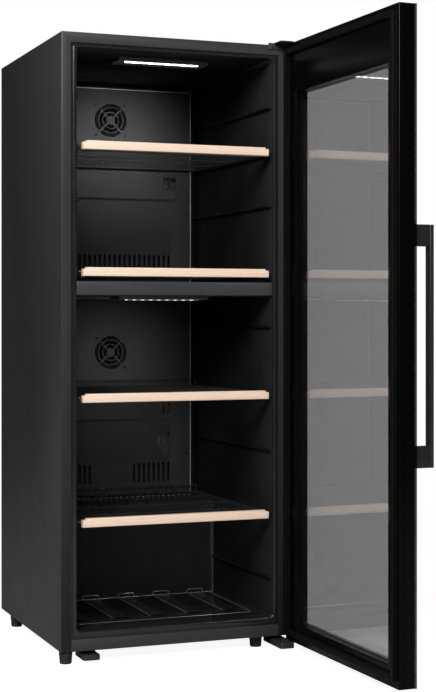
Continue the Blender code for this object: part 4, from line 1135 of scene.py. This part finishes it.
    def highlight_lines(self) -> bpy.types.Object:
        """Pale beads that paint the highlights of the folds: round the floor, along the ribs, over their ends, up the
        corner.
        """
        y, line_r = self.case_low.y, self.highlight_line_r
        top, back = self.floor + self.rib_h, self.hump_front - self.fold_in
        low = (self.left + self.floor_line_left, y + self.floor_line_front)
        frame_line = rounded_rect(low, (self.right - self.floor_line_right, back), self.corner_r)
        shape = Shape().wires([[(x, at, top) for x, at in frame_line]], line_r, cyclic=True)
        edges = [x - self.rib_w / 2 for x in self.ribs()]
        shape.wires([[(x, y + self.rib_front, top), (x, back - 0.02, top)] for x in edges], line_r)
        steps: list[Point3] = [(self.left + self.corner_r, back, top)]
        for x in self.ribs():
            for side, z in ((-1, 0.0), (-1, self.rib_rise), (1, self.rib_rise), (1, 0.0)):
                steps.append((x + side * self.rib_w / 2, back, top + z))
        steps.append((self.right - self.corner_r, back, top))
        shape.wires([filleted(steps, 0.004)], line_r * 1.4)
        corner = (self.right - self.fold_in, back)
        shape.wires([[(*corner, top), (*corner, self.hump_top - self.corner_r)]], line_r * 0.8)
        # Painted highlight: the beads are pale and glossy so that they show as bright lines.
        return shape.piece("liner_highlight_lines", Finishes.CREASE)

    def ledges(self) -> bpy.types.Object:
        """The runners moulded into both sides, at each shelf's level and at the spare levels."""
        shape = Shape()
        for level in self.levels:
            top = self.case_low.z + level - self.wire / 2 - self.gap
            back = self.case_low.y + self.ledge_back if level > 0.3 else self.hump_front - self.gap
            low = (self.case_low.y + self.ledge_front, top - self.ledge_h)
            for left, right in (
                (self.left - 0.001, self.left + self.ledge_in), (self.right - self.ledge_in, self.right + 0.001),
            ):
                shape.block((left, *low), (right, back, top), 0.0022, 3)
        return shape.piece("liner_ledges", Finishes.LINER)

    def build(self) -> None:
        """Builds the five forms of the liner, one of them the pale beads that paint the folds' highlights."""
        hand_over(self.tub(), "cabinet", "liner_plastic", "inner_liner")
        for made in (self.lip(), self.floor_forms(), self.highlight_lines(), self.ledges()):
            hand_over(made, "cabinet", "liner_plastic")


class Zone(Enum):
    """The two cooled zones."""

    UPPER = "upper"
    LOWER = "lower"


@dataclass
class DividerAndLamps:
    """The shelf between the zones, and the flat lamp under each zone's ceiling."""

    edge_r: float = 0.004
    lamp_edge: float = 0.0018
    rim: float = 0.0015
    diffuser_in: float = 0.006
    diffuser_share: float = 0.5
    diffuser_drops: tuple[float, float] = (0.002, 0.0009)
    light_drop: float = 0.006
    light_above_shelf: float = 0.02
    light_spread_deg: float = 55.0
    light_watts: tuple[float, float] = (0.9, 0.25)

    def build(self) -> None:
        """Builds the divider and both lamps."""
        low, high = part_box("zone_divider")
        divider = Shape().block(low, high, self.edge_r, 4).piece("divider_shell", Finishes.DIVIDER)
        hand_over(divider, "cabinet", "divider_plastic", "zone_divider")
        finishes = (Finishes.LENS, Finishes.DIM_LENS)
        lamps = zip(("ceiling_lamp", "divider_lamp"), Zone, (1, 3), finishes, self.diffuser_drops, self.light_watts)
        for lamp, zone, shelf, finish, drop, watts in lamps:
            low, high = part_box(lamp + "_housing")
            lens_low, lens_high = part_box(lamp + "_lens")
            trim = (lens_high.y - lens_low.y) * (1 - self.diffuser_share) / 2
            lens_low += Vector((self.diffuser_in, trim, 0))
            lens_high -= Vector((self.diffuser_in, trim, 0))
            window = rounded_rect((lens_low.x, lens_low.y), (lens_high.x, lens_high.y), 0.002)
            shape = Shape().sheet(
                rounded_rect((low.x, low.y), (high.x, high.y), 0.006), [window], low.z, low.z + 0.003, Plane.TOP,
                self.lamp_edge / 3,
            )
            rim = self.rim
            shape.block((low.x + rim, low.y + rim, low.z + 0.0031), (high.x - rim, high.y - rim, high.z), 0.001)
            hand_over(shape.piece(lamp + "_case", Finishes.GREY_ABS), "cabinet", "grey_plastic", lamp + "_housing")
            edge = 0.0008
            lens = Shape().block(
                (lens_low.x + edge, lens_low.y + edge, lens_low.z - drop),
                (lens_high.x - edge, lens_high.y - edge, lens_high.z - 0.0002), 0.002, 3,
            )
            hand_over(lens.piece(lamp + "_diffuser", finish), "cabinet", "lens", lamp + "_lens")
            under = (lens_low + lens_high) / 2 - Vector((0, 0, self.light_drop))
            panel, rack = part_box(f"{zone.value}_duct_panel")[0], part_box(f"wire_shelf_{shelf}")[1]
            aim = (under.x, panel.y, rack.z + self.light_above_shelf)
            size = (lens_high.x - lens_low.x, lens_high.y - lens_low.y)
            Softbox(lamp + "_light", tuple(under), aim, size, watts, self.light_spread_deg, False).build()


@dataclass
class AirDuct:
    """The panel over a zone's evaporator: fan grille, outlet slots, and the window of its temperature sensor."""

    zone: Zone
    slots: list[tuple[float, int, float, float]]
    screws: list[Point2]
    wall: float = 0.002
    grille_r: float = 0.0495
    edge_highlight_w: float = 0.0018
    hub_r: float = 0.012
    web: float = 0.004
    rings: int = 3
    spokes: int = 4
    slot_w: float = 0.0065
    slot_pitch: float = 0.0146
    fan_screw: float = 0.0425
    screw_r: float = 0.0034
    sensor: tuple[float, float] | None = None
    sensor_w: float = 0.047
    sensor_h: float = 0.036
    sensor_rim: float = 0.002

    def __post_init__(self) -> None:
        """Reads the panel's and the fan's boxes."""
        self.low, self.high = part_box(f"{self.zone.value}_duct_panel")
        fan_low, fan_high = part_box(f"{self.zone.value}_fan_frame")
        self.middle_x = (self.low.x + self.high.x) / 2
        self.fan = ((fan_low.x + fan_high.x) / 2, (fan_low.z + fan_high.z) / 2)
        self.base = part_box("outer_casing")[0].z

    def grille(self) -> list[Loop]:
        """The curved slots between the grille's rings and spokes."""
        step = (self.grille_r - self.hub_r) / self.rings
        found = []
        for ring in range(self.rings):
            inner = self.hub_r + ring * step
            outer = inner + step - self.web * 0.8
            for spoke in range(self.spokes):
                start = math.tau * (spoke + 0.5) / self.spokes
                trim = math.asin(self.web / 2 / inner)
                found.append(ring_slot(self.fan, inner, outer, start + trim, start + math.tau / self.spokes - trim))
        return found

    def outlets(self) -> list[Loop]:
        """The upright outlet slots, row by row."""
        found = []
        for first, count, bottom, top in self.slots:
            for i in range(count):
                x = self.middle_x + first + i * self.slot_pitch
                found.append(
                    rounded_rect(
                        (x - self.slot_w / 2, self.base + bottom), (x + self.slot_w / 2, self.base + top),
                        self.slot_w * 0.3, 3,
                    )
                )
        return found

    def sensor_cage(self, shape: Shape) -> list[Loop]:
        """Adds the raised frame of the sensor's window, and gives the window's bars as holes."""
        if self.sensor is None:
            return []
        x, z = self.middle_x + self.sensor[0], self.base + self.sensor[1]
        half_w, half_h = self.sensor_w / 2, self.sensor_h / 2
        frame_low, frame_high = (x - half_w, z - half_h), (x + half_w, z + half_h)
        bars = []
        for i in range(5):
            for side in (-1, 1):
                left = x + (side - 1) * (half_w - 0.004) / 2 + 0.001
                bottom = z - half_h + 0.005 + i * 0.0056
                bars.append(rounded_rect((left, bottom), (left + half_w - 0.006, bottom + 0.004), 0.001, 2))
        rim = self.sensor_rim
        hollow = rounded_rect(
            (frame_low[0] + rim, frame_low[1] + rim), (frame_high[0] - rim, frame_high[1] - rim), 0.002
        )
        shape.sheet(
            rounded_rect(frame_low, frame_high, 0.003), [hollow], self.low.y - 0.0016, self.low.y + 0.0002,
            edge=0.0006,
        )
        return bars

    def build(self) -> None:
        """Builds the panel, the pale strip round its edge that paints the edge's highlight, and its screws."""
        shape = Shape()
        holes = self.grille() + self.outlets() + self.sensor_cage(shape)
        outline = rounded_rect((self.low.x, self.low.z), (self.high.x, self.high.z), 0.004)
        shape.sheet(outline, holes, self.low.y, self.low.y + self.wall, edge=0.0005)
        inner = rounded_rect(
            (self.low.x + self.wall, self.low.z + self.wall), (self.high.x - self.wall, self.high.z - self.wall),
            0.003,
        )
        shape.sheet(outline, [inner], self.low.y + self.wall, self.high.y)
        made = shape.piece(f"{self.zone.value}_duct_cover", Finishes.DUCT)
        hand_over(made, "cabinet", "liner_plastic", f"{self.zone.value}_duct_panel")
        # The pale strip round the panel is a painted highlight of its rounded edge.
        front = self.low.y
        proud, behind = front - 0.0004, front + 0.0008
        lip = [(0.0, behind), (0.0, front + 0.0002), (0.0006, proud), (self.edge_highlight_w, proud), (self.edge_highlight_w, behind)]
        edge = Shape().ring((self.low.x, self.low.z), (self.high.x, self.high.z), 0.004, lip)
        hand_over(edge.piece(f"{self.zone.value}_duct_edge_highlight", Finishes.PAINTED_EDGE_HIGHLIGHT), "cabinet", "liner_plastic")
        heads = Shape()
        for x, z in self.screws:
            heads.screw_head((self.middle_x + x, front, self.base + z), self.screw_r, 0.0022)
        for side_x in (-1, 1):
            for side_z in (-1, 1):
                at = (self.fan[0] + side_x * self.fan_screw, front, self.fan[1] + side_z * self.fan_screw)
                heads.screw_head(at, self.screw_r, 0.0018)
        hand_over(heads.piece(f"{self.zone.value}_duct_screws", Finishes.SCREW), "cabinet", "hinge_steel")


@dataclass
class Fan:
    """A zone's axial fan: square frame, hub and seven twisted blades."""

    zone: Zone
    blades: int = 7
    bore_r: float = 0.0395
    hub_r: float = 0.015
    tip_r: float = 0.037
    chord: float = 0.020
    thickness: float = 0.0014
    root_deg: float = 52.0
    tip_deg: float = 26.0
    stations: int = 6
    half_depth: float = 0.0068

    def frame_piece(self) -> bpy.types.Object:
        """The square frame with its bore, and the four arms that hold the motor."""
        low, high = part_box(f"{self.zone.value}_fan_frame")
        middle = ((low.x + high.x) / 2, (low.z + high.z) / 2)
        square = rounded_rect((low.x, low.z), (high.x, high.z), 0.005)
        shape = Shape().sheet(square, [circle(middle, self.bore_r, 48)], low.y, high.y, edge=0.0006)
        shape.sheet(circle(middle, self.hub_r, 32), [], high.y - 0.0025, high.y, edge=0.0004)
        for turn in range(4):
            angle = math.tau * (turn + 0.5) / 4
            reach = Vector((math.cos(angle), math.sin(angle)))
            side = Vector((-reach.y, reach.x)) * 0.002
            start, end = reach * (self.hub_r - 0.001), reach * (self.bore_r + 0.001)
            arm = [start - side, end - side, end + side, start + side]
            shape.sheet([(middle[0] + p.x, middle[1] + p.y) for p in arm], [], high.y - 0.0024, high.y - 0.0003)
        return shape.piece(f"{self.zone.value}_fan_case", Finishes.BLACK_ABS)

    def rotor_piece(self) -> bpy.types.Object:
        """The hub and its blades, each lofted from root to tip."""
        low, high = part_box(f"{self.zone.value}_fan_rotor")
        x, z = (low.x + high.x) / 2, (low.z + high.z) / 2
        front = low.y
        back = front + 0.015
        round_r = 0.0015
        profile = [(0.0, front), (self.hub_r - round_r, front), (self.hub_r, front + round_r), (self.hub_r, back)]
        profile.append((0.0, back))
        shape = Shape().turned(profile, (x, 0.0, z), "Y", 32)
        for blade in range(self.blades):
            spread = Matrix.Rotation(math.tau * blade / self.blades, 4, "Y")
            rows = []
            for i in range(self.stations + 1):
                share = i / self.stations
                radius = self.hub_r - 0.0015 + (self.tip_r - self.hub_r + 0.0015) * share
                pitch = math.radians(self.root_deg + (self.tip_deg - self.root_deg) * share)
                sweep = 0.28 * share**2
                half = self.chord / 2 * (0.8 + 0.35 * share)
                row = []
                for along, across in ((-1, -1), (1, -1), (1, 1), (-1, 1)):
                    turn = sweep + along * half * math.cos(pitch) / radius
                    y = (front + back) / 2 + across * self.thickness / 2
                    y += along * min(half * math.sin(pitch), self.half_depth)
                    at = spread @ Vector((radius * math.sin(turn), y, radius * math.cos(turn)))
                    row.append(shape.mesh.verts.new(at))
                rows.append(row)
            for first, second in zip(rows, rows[1:]):
                for i in range(4):
                    j = (i + 1) % 4
                    shape.mesh.faces.new((first[i], first[j], second[j], second[i]))
            shape.mesh.faces.new(rows[0])
            shape.mesh.faces.new(rows[-1])
            for row in rows:
                for vert in row:
                    vert.co += Vector((x, 0.0, z))
        return shape.piece(f"{self.zone.value}_fan_wheel", Finishes.BLACK_ABS)

    def build(self) -> None:
        """Builds the frame and the rotor."""
        name = self.zone.value
        hand_over(self.frame_piece(), "cabinet", "black_plastic", f"{name}_fan_frame")
        hand_over(self.rotor_piece(), f"{name}_fan", "black_plastic", f"{name}_fan_rotor")


@dataclass
class SlidingShelf:
    """A dipped-wire rack with an upturned back and a beech front."""

    number: int
    frame_r: float = 0.0025
    bar_r: float = 0.0014
    cross_r: float = 0.0019
    pitch: float = 0.0152
    corner_r: float = 0.010
    bend_r: float = 0.006
    cross_wires: tuple[float, ...] = (0.22, 0.5, 0.78)
    edge_r: float = 0.0022
    rabbet_l: float = 0.009
    rabbet_h: float = 0.004

    def rack(self) -> bpy.types.Object:
        """The frame wire, the bars on it, the cross wires between them and the upturned stop."""
        low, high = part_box(f"wire_shelf_{self.number}")
        z = low.z + self.frame_r
        r = self.frame_r
        outline = rounded_rect((low.x + r, low.y + r), (high.x - r, high.y - r), self.corner_r, 5)
        shape = Shape().wires([[(x, y, z) for x, y in outline]], r, cyclic=True, sides=3)
        span = high.x - low.x - 4 * r
        count = int(span // self.pitch)
        bar_z = z + r + self.bar_r * 0.6
        top = high.z - self.bar_r
        back = high.y - self.bar_r - r
        xs = [(low.x + high.x) / 2 + (i - count / 2) * self.pitch for i in range(count + 1)]
        bars = [
            filleted([(x, low.y + r, bar_z), (x, back, bar_z), (x, back, top)], self.bend_r)
            for x in xs
        ]
        shape.wires(bars, self.bar_r)
        depths = [low.y + (high.y - low.y) * share for share in self.cross_wires]
        shape.wires([[(low.x + r, y, z), (high.x - r, y, z)] for y in depths], self.cross_r)
        stop = (back + self.bar_r, top - self.bar_r)
        shape.wires([[(xs[0] - self.bar_r, *stop), (xs[-1] + self.bar_r, *stop)]], self.bar_r)
        return shape.piece(f"rack_{self.number}", Finishes.WIRE, smooth_deg=60)

    def front(self) -> bpy.types.Object:
        """The beech strip, stepped down at its ends where it clears the liner's lip."""
        low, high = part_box(f"shelf_front_{self.number}")
        step, drop = self.rabbet_l, self.rabbet_h
        outline = [
            (low.x, low.z), (high.x, low.z), (high.x, high.z - drop), (high.x - step, high.z - drop),
            (high.x - step, high.z), (low.x + step, high.z), (low.x + step, high.z - drop), (low.x, high.z - drop),
        ]
        shape = Shape().sheet(outline, [], low.y, high.y, edge=self.edge_r, steps=3)
        return shape.piece(f"beech_front_{self.number}", Finishes.BEECH)

    def build(self) -> None:
        """Builds the rack and its front."""
        body = f"shelf_{self.number}"
        hand_over(self.rack(), body, "coated_wire", f"wire_shelf_{self.number}")
        hand_over(self.front(), body, "beech", f"shelf_front_{self.number}")


# Door
@dataclass
class Door:
    """The glazed door. It is described shut, then turned about its hinge to where the frame stands."""

    drop: float = 0.007
    gap: float = 0.011
    thickness: float = 0.044
    pane: float = 0.004
    reveal: float = 0.012
    side_border: float = 0.052
    top_border: float = 0.127
    bottom_border: float = 0.048
    rebate: float = 0.010
    edge_r: float = 0.0015
    play: float = 0.0003
    gasket_w: float = 0.016
    gasket_side: float = 0.009
    gasket_low: float = 0.0095
    gasket_high: float = 0.0135
    display_w: float = 0.124
    display_h: float = 0.032

    def __post_init__(self) -> None:
        """Reads the opening and the hinge from the frame."""
        self.case_low, self.case_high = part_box("outer_casing")
        hinge = next(joint for joint in frame["joints"] if joint["child"] == "door")
        pivot = Matrix.Translation(hinge["pos_m"])
        self.open_by = pivot @ Matrix.Rotation(math.radians(-hinge["range_deg"][0]), 4, "Z") @ pivot.inverted()
        self.low = (self.case_low.x, self.case_low.z - self.drop)
        self.high = (self.case_high.x, self.case_high.z)
        self.inner = self.case_low.y - self.gap
        self.outer = self.inner - self.thickness

    def window(self, grow: float) -> Loop:
        """The outline of the window, grown by a margin."""
        return rounded_rect(
            (self.low[0] + self.side_border - grow, self.low[1] + self.bottom_border - grow),
            (self.high[0] - self.side_border + grow, self.high[1] - self.top_border + grow), 0.0015, 2,
        )

    def display_window(self) -> Loop:
        """The outline of the opening for the display, in the middle of the top border."""
        x, z = (self.low[0] + self.high[0]) / 2, self.high[1] - self.top_border / 2
        return rounded_rect(
            (x - self.display_w / 2, z - self.display_h / 2), (x + self.display_w / 2, z + self.display_h / 2), 0.004
        )

    def frame_piece(self) -> bpy.types.Object:
        """The moulding: a front part with the rebate, and a back part with the reveal."""
        outline = rounded_rect(self.low, self.high, 0.003)
        step = self.inner - self.reveal
        front = self.outer + self.pane + self.play
        shape = Shape().sheet(outline, [self.window(0)], step, self.inner, edge=self.edge_r, steps=3)
        shape.sheet(outline, [self.window(self.rebate), self.display_window()], front, step + 0.0001)
        return shape.moved(self.open_by).piece("door_moulding", Finishes.GLOSS_ABS)

    def gasket_piece(self) -> bpy.types.Object:
        """The magnetic seal: a foot in the frame, a folded bellows and the magnet's flat face."""
        base, face = self.inner + self.play, self.case_low.y - self.play
        w = self.gasket_w
        profile = [
            (0.0, base), (0.0, base + 0.0028), (0.0035, base + 0.0040), (0.0012, base + 0.0056),
            (0.0008, face - 0.0008), (0.0018, face), (w - 0.0018, face), (w - 0.0008, face - 0.0008),
            (w - 0.0012, base + 0.0056), (w - 0.0035, base + 0.0040), (w, base + 0.0028), (w, base),
        ]
        shape = Shape().ring(
            (self.low[0] + self.gasket_side, self.case_low.z + self.gasket_low),
            (self.high[0] - self.gasket_side, self.case_high.z - self.gasket_high), 0.006, profile,
        )
        return shape.moved(self.open_by).piece("door_seal", Finishes.GASKET)

    def build(self) -> None:
        """Builds the moulding and the seal, and dresses the glazing and the parts inside."""
        hand_over(self.frame_piece(), "door", "gloss_black", "door_frame")
        hand_over(self.gasket_piece(), "door", "rubber", "door_gasket")
        dress(Finishes.GLASS, "outer_glass", "inner_glass")
        dress(Finishes.SPACER, "glass_spacer")
        dress(Finishes.GREY_ABS, "lower_hinge_bush", "upper_hinge_bush")
        dress(Finishes.BLACK_ABS, "display_module")
        dress(Finishes.BOARD, "control_board")


@dataclass
class BarHandle:
    """A flat bar on two deep blocks, down the door's free edge."""

    door: Door
    bottom: float = 0.476
    top: float = 1.015
    block_h: float = 0.048
    width: float = 0.022
    thickness: float = 0.0095
    projection: float = 0.050
    from_edge: float = 0.012
    edge_r: float = 0.0012

    def build(self) -> None:
        """Builds the bar and its blocks."""
        door = self.door
        left = door.low[0] + self.from_edge
        right = left + self.width
        base = door.case_low.z
        front = door.outer - self.projection
        grip = Shape().block(
            (left, front, base + self.bottom), (right, front + self.thickness, base + self.top), self.edge_r, 3
        )
        hand_over(grip.moved(door.open_by).piece("handle_bar", Finishes.HANDLE), "door", "handle_metal", "handle_grip")
        seat = front + self.thickness + door.play
        for name, z in (("lower", base + self.bottom), ("upper", base + self.top - self.block_h)):
            block = Shape().block((left, seat, z), (right, door.outer - door.play, z + self.block_h), self.edge_r, 3)
            made = block.moved(door.open_by).piece(f"handle_block_{name}", Finishes.HANDLE)
            hand_over(made, "door", "handle_metal", f"handle_mount_{name}")


# Hinges and feet
@dataclass
class Hinges:
    """The top hinge's leaf and arm, the channel that carries the lower pin, and the spare channel on the left."""

    plate: float = 0.003
    arm_w: float = 0.038
    pin_hole_r: float = 0.0028
    channel_wall: float = 0.003
    channel_h: float = 0.015
    block_d: float = 0.035
    support_h: float = 0.013
    corner_r: float = 0.006

    def top_bracket(self) -> bpy.types.Object:
        """The leaf screwed to the top rail and the arm over the door."""
        low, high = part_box("top_hinge_bracket")
        pin_low, pin_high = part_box("top_hinge_pin")
        pin = ((pin_low.x + pin_high.x) / 2, (pin_low.y + pin_high.y) / 2)
        shape = Shape().sheet(
            rounded_rect((low.x, low.z), (high.x, high.z), 0.002), [], high.y - self.plate, high.y, edge=0.0005
        )
        arm = rounded_rect((high.x - self.arm_w, low.y), (high.x, high.y - 0.0002), self.corner_r)
        shape.sheet(arm, [circle(pin, self.pin_hole_r, 20)], high.z - self.plate, high.z, Plane.TOP, 0.0005)
        for share in (0.2, 0.8):
            x = low.x + (high.x - low.x) * share
            shape.screw_head((x, high.y - self.plate, low.z + 0.006), 0.0038, 0.0016)
        return shape.piece("top_hinge_plate", Finishes.HINGE)

    def channel(self, node: str, name: str, height: float, pin: Point2 | None) -> bpy.types.Object:
        """A pressed channel under the base.

        Args:
            node: The CAD node that gives its box.
            name: The piece's name.
            height: The channel's own height. Its seat at the back rises above that.
            pin: Where the pin goes through, if it has one.

        Returns:
            The piece.
        """
        low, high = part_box(node)
        top = low.z + height
        outline = rounded_rect((low.x, low.y), (high.x, high.y), self.corner_r)
        wall = self.channel_wall
        hollow = rounded_rect((low.x + wall, low.y + wall), (high.x - wall, high.y - wall), self.corner_r - wall)
        holes = [circle(pin, self.pin_hole_r, 20)] if pin else []
        shape = Shape().sheet(outline, holes, top - wall, top, Plane.TOP, 0.0008, 3)
        shape.sheet(outline, [hollow], low.z, top - wall + 0.0004, Plane.TOP, 0.0004)
        shape.block((low.x, high.y - self.block_d, top - wall), (high.x, high.y, high.z), 0.001)
        return shape.piece(name, Finishes.HINGE)

    def build(self) -> None:
        """Builds the brackets and dresses the pins."""
        hand_over(self.top_bracket(), "cabinet", "hinge_steel", "top_hinge_bracket")
        pin_low, pin_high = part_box("bottom_hinge_pin")
        pin = ((pin_low.x + pin_high.x) / 2, (pin_low.y + pin_high.y) / 2)
        made = self.channel("bottom_hinge_bracket", "bottom_hinge_channel", self.channel_h, pin)
        hand_over(made, "cabinet", "hinge_steel", "bottom_hinge_bracket")
        made = self.channel("front_support", "spare_hinge_channel", self.support_h, None)
        hand_over(made, "cabinet", "hinge_steel", "front_support")
        dress(Finishes.BRIGHT, "top_hinge_pin", "bottom_hinge_pin")


@dataclass
class Foot:
    """A tapered moulded pad on its levelling screw, with finger grooves round it."""

    name: str
    body: str
    top_r: float = 0.0165
    base_r: float = 0.0145
    screw_r: float = 0.004
    screw_l: float = 0.014
    grooves: int = 3

    def build(self) -> None:
        """Builds the pad and the screw."""
        low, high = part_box(self.name)
        top = high.z - self.screw_l
        profile = [(0.0, low.z), (self.base_r - 0.001, low.z), (self.base_r, low.z + 0.001)]
        for i in range(self.grooves):
            z = low.z + 0.007 + i * 0.0045
            radius = self.base_r + (self.top_r - self.base_r) * (z - low.z) / (top - low.z)
            profile += [(radius, z - 0.0008), (radius - 0.0007, z), (radius, z + 0.0008)]
        profile += [(self.top_r, top - 0.006), (self.top_r, top - 0.0008), (self.top_r - 0.0008, top)]
        profile += [(self.screw_r, top), (self.screw_r, high.z - 0.0006)]
        profile += [(self.screw_r - 0.0006, high.z), (0.0, high.z)]
        middle = ((low.x + high.x) / 2, (low.y + high.y) / 2, 0.0)
        made = Shape().turned(profile, middle, "Z", 40).piece(self.name + "_pad", Finishes.RUBBER)
        hand_over(made, self.body, "rubber", self.name)


@dataclass
class CompressorBay:
    """What the cover hides: compressor on its rubber-footed plate, condenser, drip tray and mains inlet."""

    condenser_r: float = 0.0025
    runs: int = 8
    pitch: float = 0.024
    bend: float = 0.011
    shell_seam: float = 0.0015
    pin_w: float = 0.002
    pin_h: float = 0.004

    def compressor(self) -> bpy.types.Object:
        """Two deep-drawn cups, welded round the middle."""
        low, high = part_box("compressor")
        radius, height = (high.x - low.x) / 2, high.z - low.z
        crown = [
            (radius * math.sin(a), height - radius * 0.7 * (1 - math.cos(a)))
            for a in (math.pi / 2 * i / 10 for i in range(11))
        ]
        seam = height * 0.45
        profile = crown[:-1] + [
            (radius - self.shell_seam, crown[-1][1]), (radius - self.shell_seam, seam + 0.003), (radius, seam + 0.002),
            (radius, seam - 0.002), (radius - self.shell_seam, seam - 0.003), (radius - self.shell_seam, 0.020),
            (radius * 0.8, 0.0), (0.0, 0.0),
        ]
        at = ((low.x + high.x) / 2, (low.y + high.y) / 2, low.z)
        return Shape().turned(profile, at, "Z", 48).piece("compressor_shell", Finishes.COMPRESSOR)

    def condenser(self) -> bpy.types.Object:
        """One copper tube, bent to and fro."""
        low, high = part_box("condenser")
        r = self.condenser_r
        points: list[Point3] = []
        for run in range(self.runs):
            ends = [low.x + r, high.x - r]
            if run % 2:
                ends.reverse()
            z = low.z + r + run * self.pitch
            points += [(x, (low.y + high.y) / 2, z) for x in ends]
        return Shape().wires([filleted(points, self.bend, 6)], r, sides=4).piece("condenser_tube", Finishes.COPPER)

    def inlet(self) -> bpy.types.Object:
        """The mains inlet with its three flat pins."""
        low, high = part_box("mains_inlet")
        wall = 0.003
        outline = rounded_rect((low.x, low.z), (high.x, high.z), 0.002)
        hollow = rounded_rect((low.x + wall, low.z + wall), (high.x - wall, high.z - wall), 0.0015)
        shape = Shape().sheet(outline, [hollow], high.y - 0.016, high.y, edge=0.0006)
        shape.sheet(outline, [], low.y, high.y - 0.0161, edge=0.0006)
        x, z = (low.x + high.x) / 2, (low.z + high.z) / 2
        for pin_x, pin_z in ((-0.007, -0.002), (0.007, -0.002), (0.0, 0.002)):
            shape.block(
                (x + pin_x - self.pin_w / 2, high.y - 0.017, z + pin_z - self.pin_h / 2),
                (x + pin_x + self.pin_w / 2, high.y - 0.003, z + pin_z + self.pin_h / 2), 0.0004,
            )
        return shape.piece("inlet_socket", Finishes.BLACK_ABS)

    def build(self) -> None:
        """Builds what is round or bent, and dresses the rest."""
        hand_over(self.compressor(), "cabinet", "painted_steel", "compressor")
        hand_over(self.condenser(), "cabinet", "copper", "condenser")
        hand_over(self.inlet(), "cabinet", "black_plastic", "mains_inlet")
        dress(Finishes.HINGE, "compressor_mount")
        dress(Finishes.GREY_ABS, "drip_tray")
        dress(Finishes.EVAPORATOR, "upper_evaporator", "lower_evaporator")
        dress(Finishes.BLACK_ABS, "upper_temperature_sensor", "lower_temperature_sensor")


# Studio
@dataclass(frozen=True)
class Softbox:
    """A rectangular light. Where it isn't mirrored, it lights a surface but doesn't show in its shine."""

    name: str
    at: Point3
    aim: Point3
    size: Point2
    watts: float
    spread_deg: float = 180.0
    mirrored: bool = True

    def build(self) -> None:
        """Adds the light, turned towards its aim."""
        data = bpy.data.lights.new(self.name, "AREA")
        data.shape = "RECTANGLE"
        data.size, data.size_y = self.size
        data.energy = self.watts
        data.spread = math.radians(self.spread_deg)
        light = bpy.data.objects.new(self.name, data)
        light.location = self.at
        light.visible_glossy = self.mirrored
        light.rotation_euler = (Vector(self.aim) - Vector(self.at)).to_track_quat("-Z", "Y").to_euler()
        bpy.context.scene.collection.objects.link(light)


@dataclass
class Studio:
    """White floor and surround, soft lights and the camera."""

    floor_r: float = 3.0
    floor_t: float = 0.01
    surround: float = 0.06
    camera_at: Point3 = (-1.361136, -3.673806, 0.845)
    camera_turn_deg: float = -21.19
    lens_mm: float = 81.76
    shift_y: float = -0.0450
    lights: tuple[Softbox, ...] = (
        Softbox("key_softbox", (-2.0, -3.4, 3.1), (0.0, 0.0, 0.8), (2.4, 1.6), 250.0),
        Softbox("side_softbox", (-3.4, 0.7, 2.2), (-0.3, 0.3, 1.0), (1.4, 2.4), 26.0),
        Softbox("right_softbox", (2.8, -1.4, 2.2), (0.3, -0.2, 0.7), (1.4, 2.0), 5.0),
    )

    def floor(self) -> None:
        """A white disc under the cooler."""
        disc = Shape().sheet(circle((0.0, 0.0), self.floor_r, 96), [], -self.floor_t, 0.0, Plane.TOP)
        disc.piece("studio_floor", Finishes.FLOOR)

    def world(self) -> None:
        """A surround that is white to look at, also through glass, and dim in what it lights."""
        world = bpy.data.worlds.new("white_surround")
        bpy.context.scene.world = world
        world.use_nodes = True
        tree = world.node_tree
        background = tree.nodes["Background"]
        path = add_node(tree, "ShaderNodeLightPath", {})
        seen = add_node(
            tree, "ShaderNodeMath", {"operation": "MAXIMUM"},
            {0: path.outputs["Is Camera Ray"], 1: path.outputs["Is Transmission Ray"]},
        )
        tone = add_node(
            tree, "ShaderNodeMix",
            {"data_type": "RGBA", 6: (self.surround, self.surround, self.surround, 1.0), 7: linear("FFFFFF")},
            {0: seen.outputs["Value"]},
        )
        tree.links.new(tone.outputs[2], background.inputs["Color"])

    def camera(self) -> None:
        """The camera, level, to the left of the cooler."""
        data = bpy.data.cameras.new("camera")
        data.lens = self.lens_mm
        data.shift_y = self.shift_y
        camera = bpy.data.objects.new("camera", data)
        camera.location = self.camera_at
        camera.rotation_euler = (math.radians(90), 0.0, math.radians(self.camera_turn_deg))
        bpy.context.scene.collection.objects.link(camera)
        bpy.context.scene.camera = camera

    def build(self) -> None:
        """Sets the stage."""
        bpy.context.scene.view_settings.view_transform = "Standard"
        self.floor()
        self.world()
        self.camera()
        for light in self.lights:
            light.build()


def main() -> None:
    """Builds every sub-assembly, then the studio."""
    logging.basicConfig(level=logging.INFO, format="%(name)s: %(message)s")
    door = Door()
    ducts = [
        AirDuct(
            Zone.UPPER, [(-0.0901, 19, 0.934, 0.984)], [(x, z) for x in (-0.2267, 0.2267) for z in (1.385, 1.105)],
            sensor=(0.1754, 1.190),
        ),
        AirDuct(
            Zone.LOWER,
            [
                (0.1434, 3, 0.531, 0.5655), (0.1434, 3, 0.446, 0.481), (0.0694, 8, 0.342, 0.396),
                (-0.0900, 3, 0.342, 0.396),
            ],
            [(x, z) for x in (-0.2267, 0.2267) for z in (0.790, 0.420)],
        ),
    ]
    feet = [
        Foot("front_left_foot", "front_left_foot"), Foot("front_right_foot", "front_right_foot"),
        Foot("back_left_foot", "cabinet"), Foot("back_right_foot", "cabinet"),
    ]
    assemblies = [Casing(), RearPanels(), Liner(), DividerAndLamps(), *ducts, *(Fan(zone) for zone in Zone)]
    assemblies += [SlidingShelf(number) for number in range(1, 5)]
    assemblies += [door, BarHandle(door), Hinges(), *feet, CompressorBay(), Studio()]
    for assembly in assemblies:
        assembly.build()
        LOG.info("%s done", type(assembly).__name__)


if __name__ == "__main__":
    main()
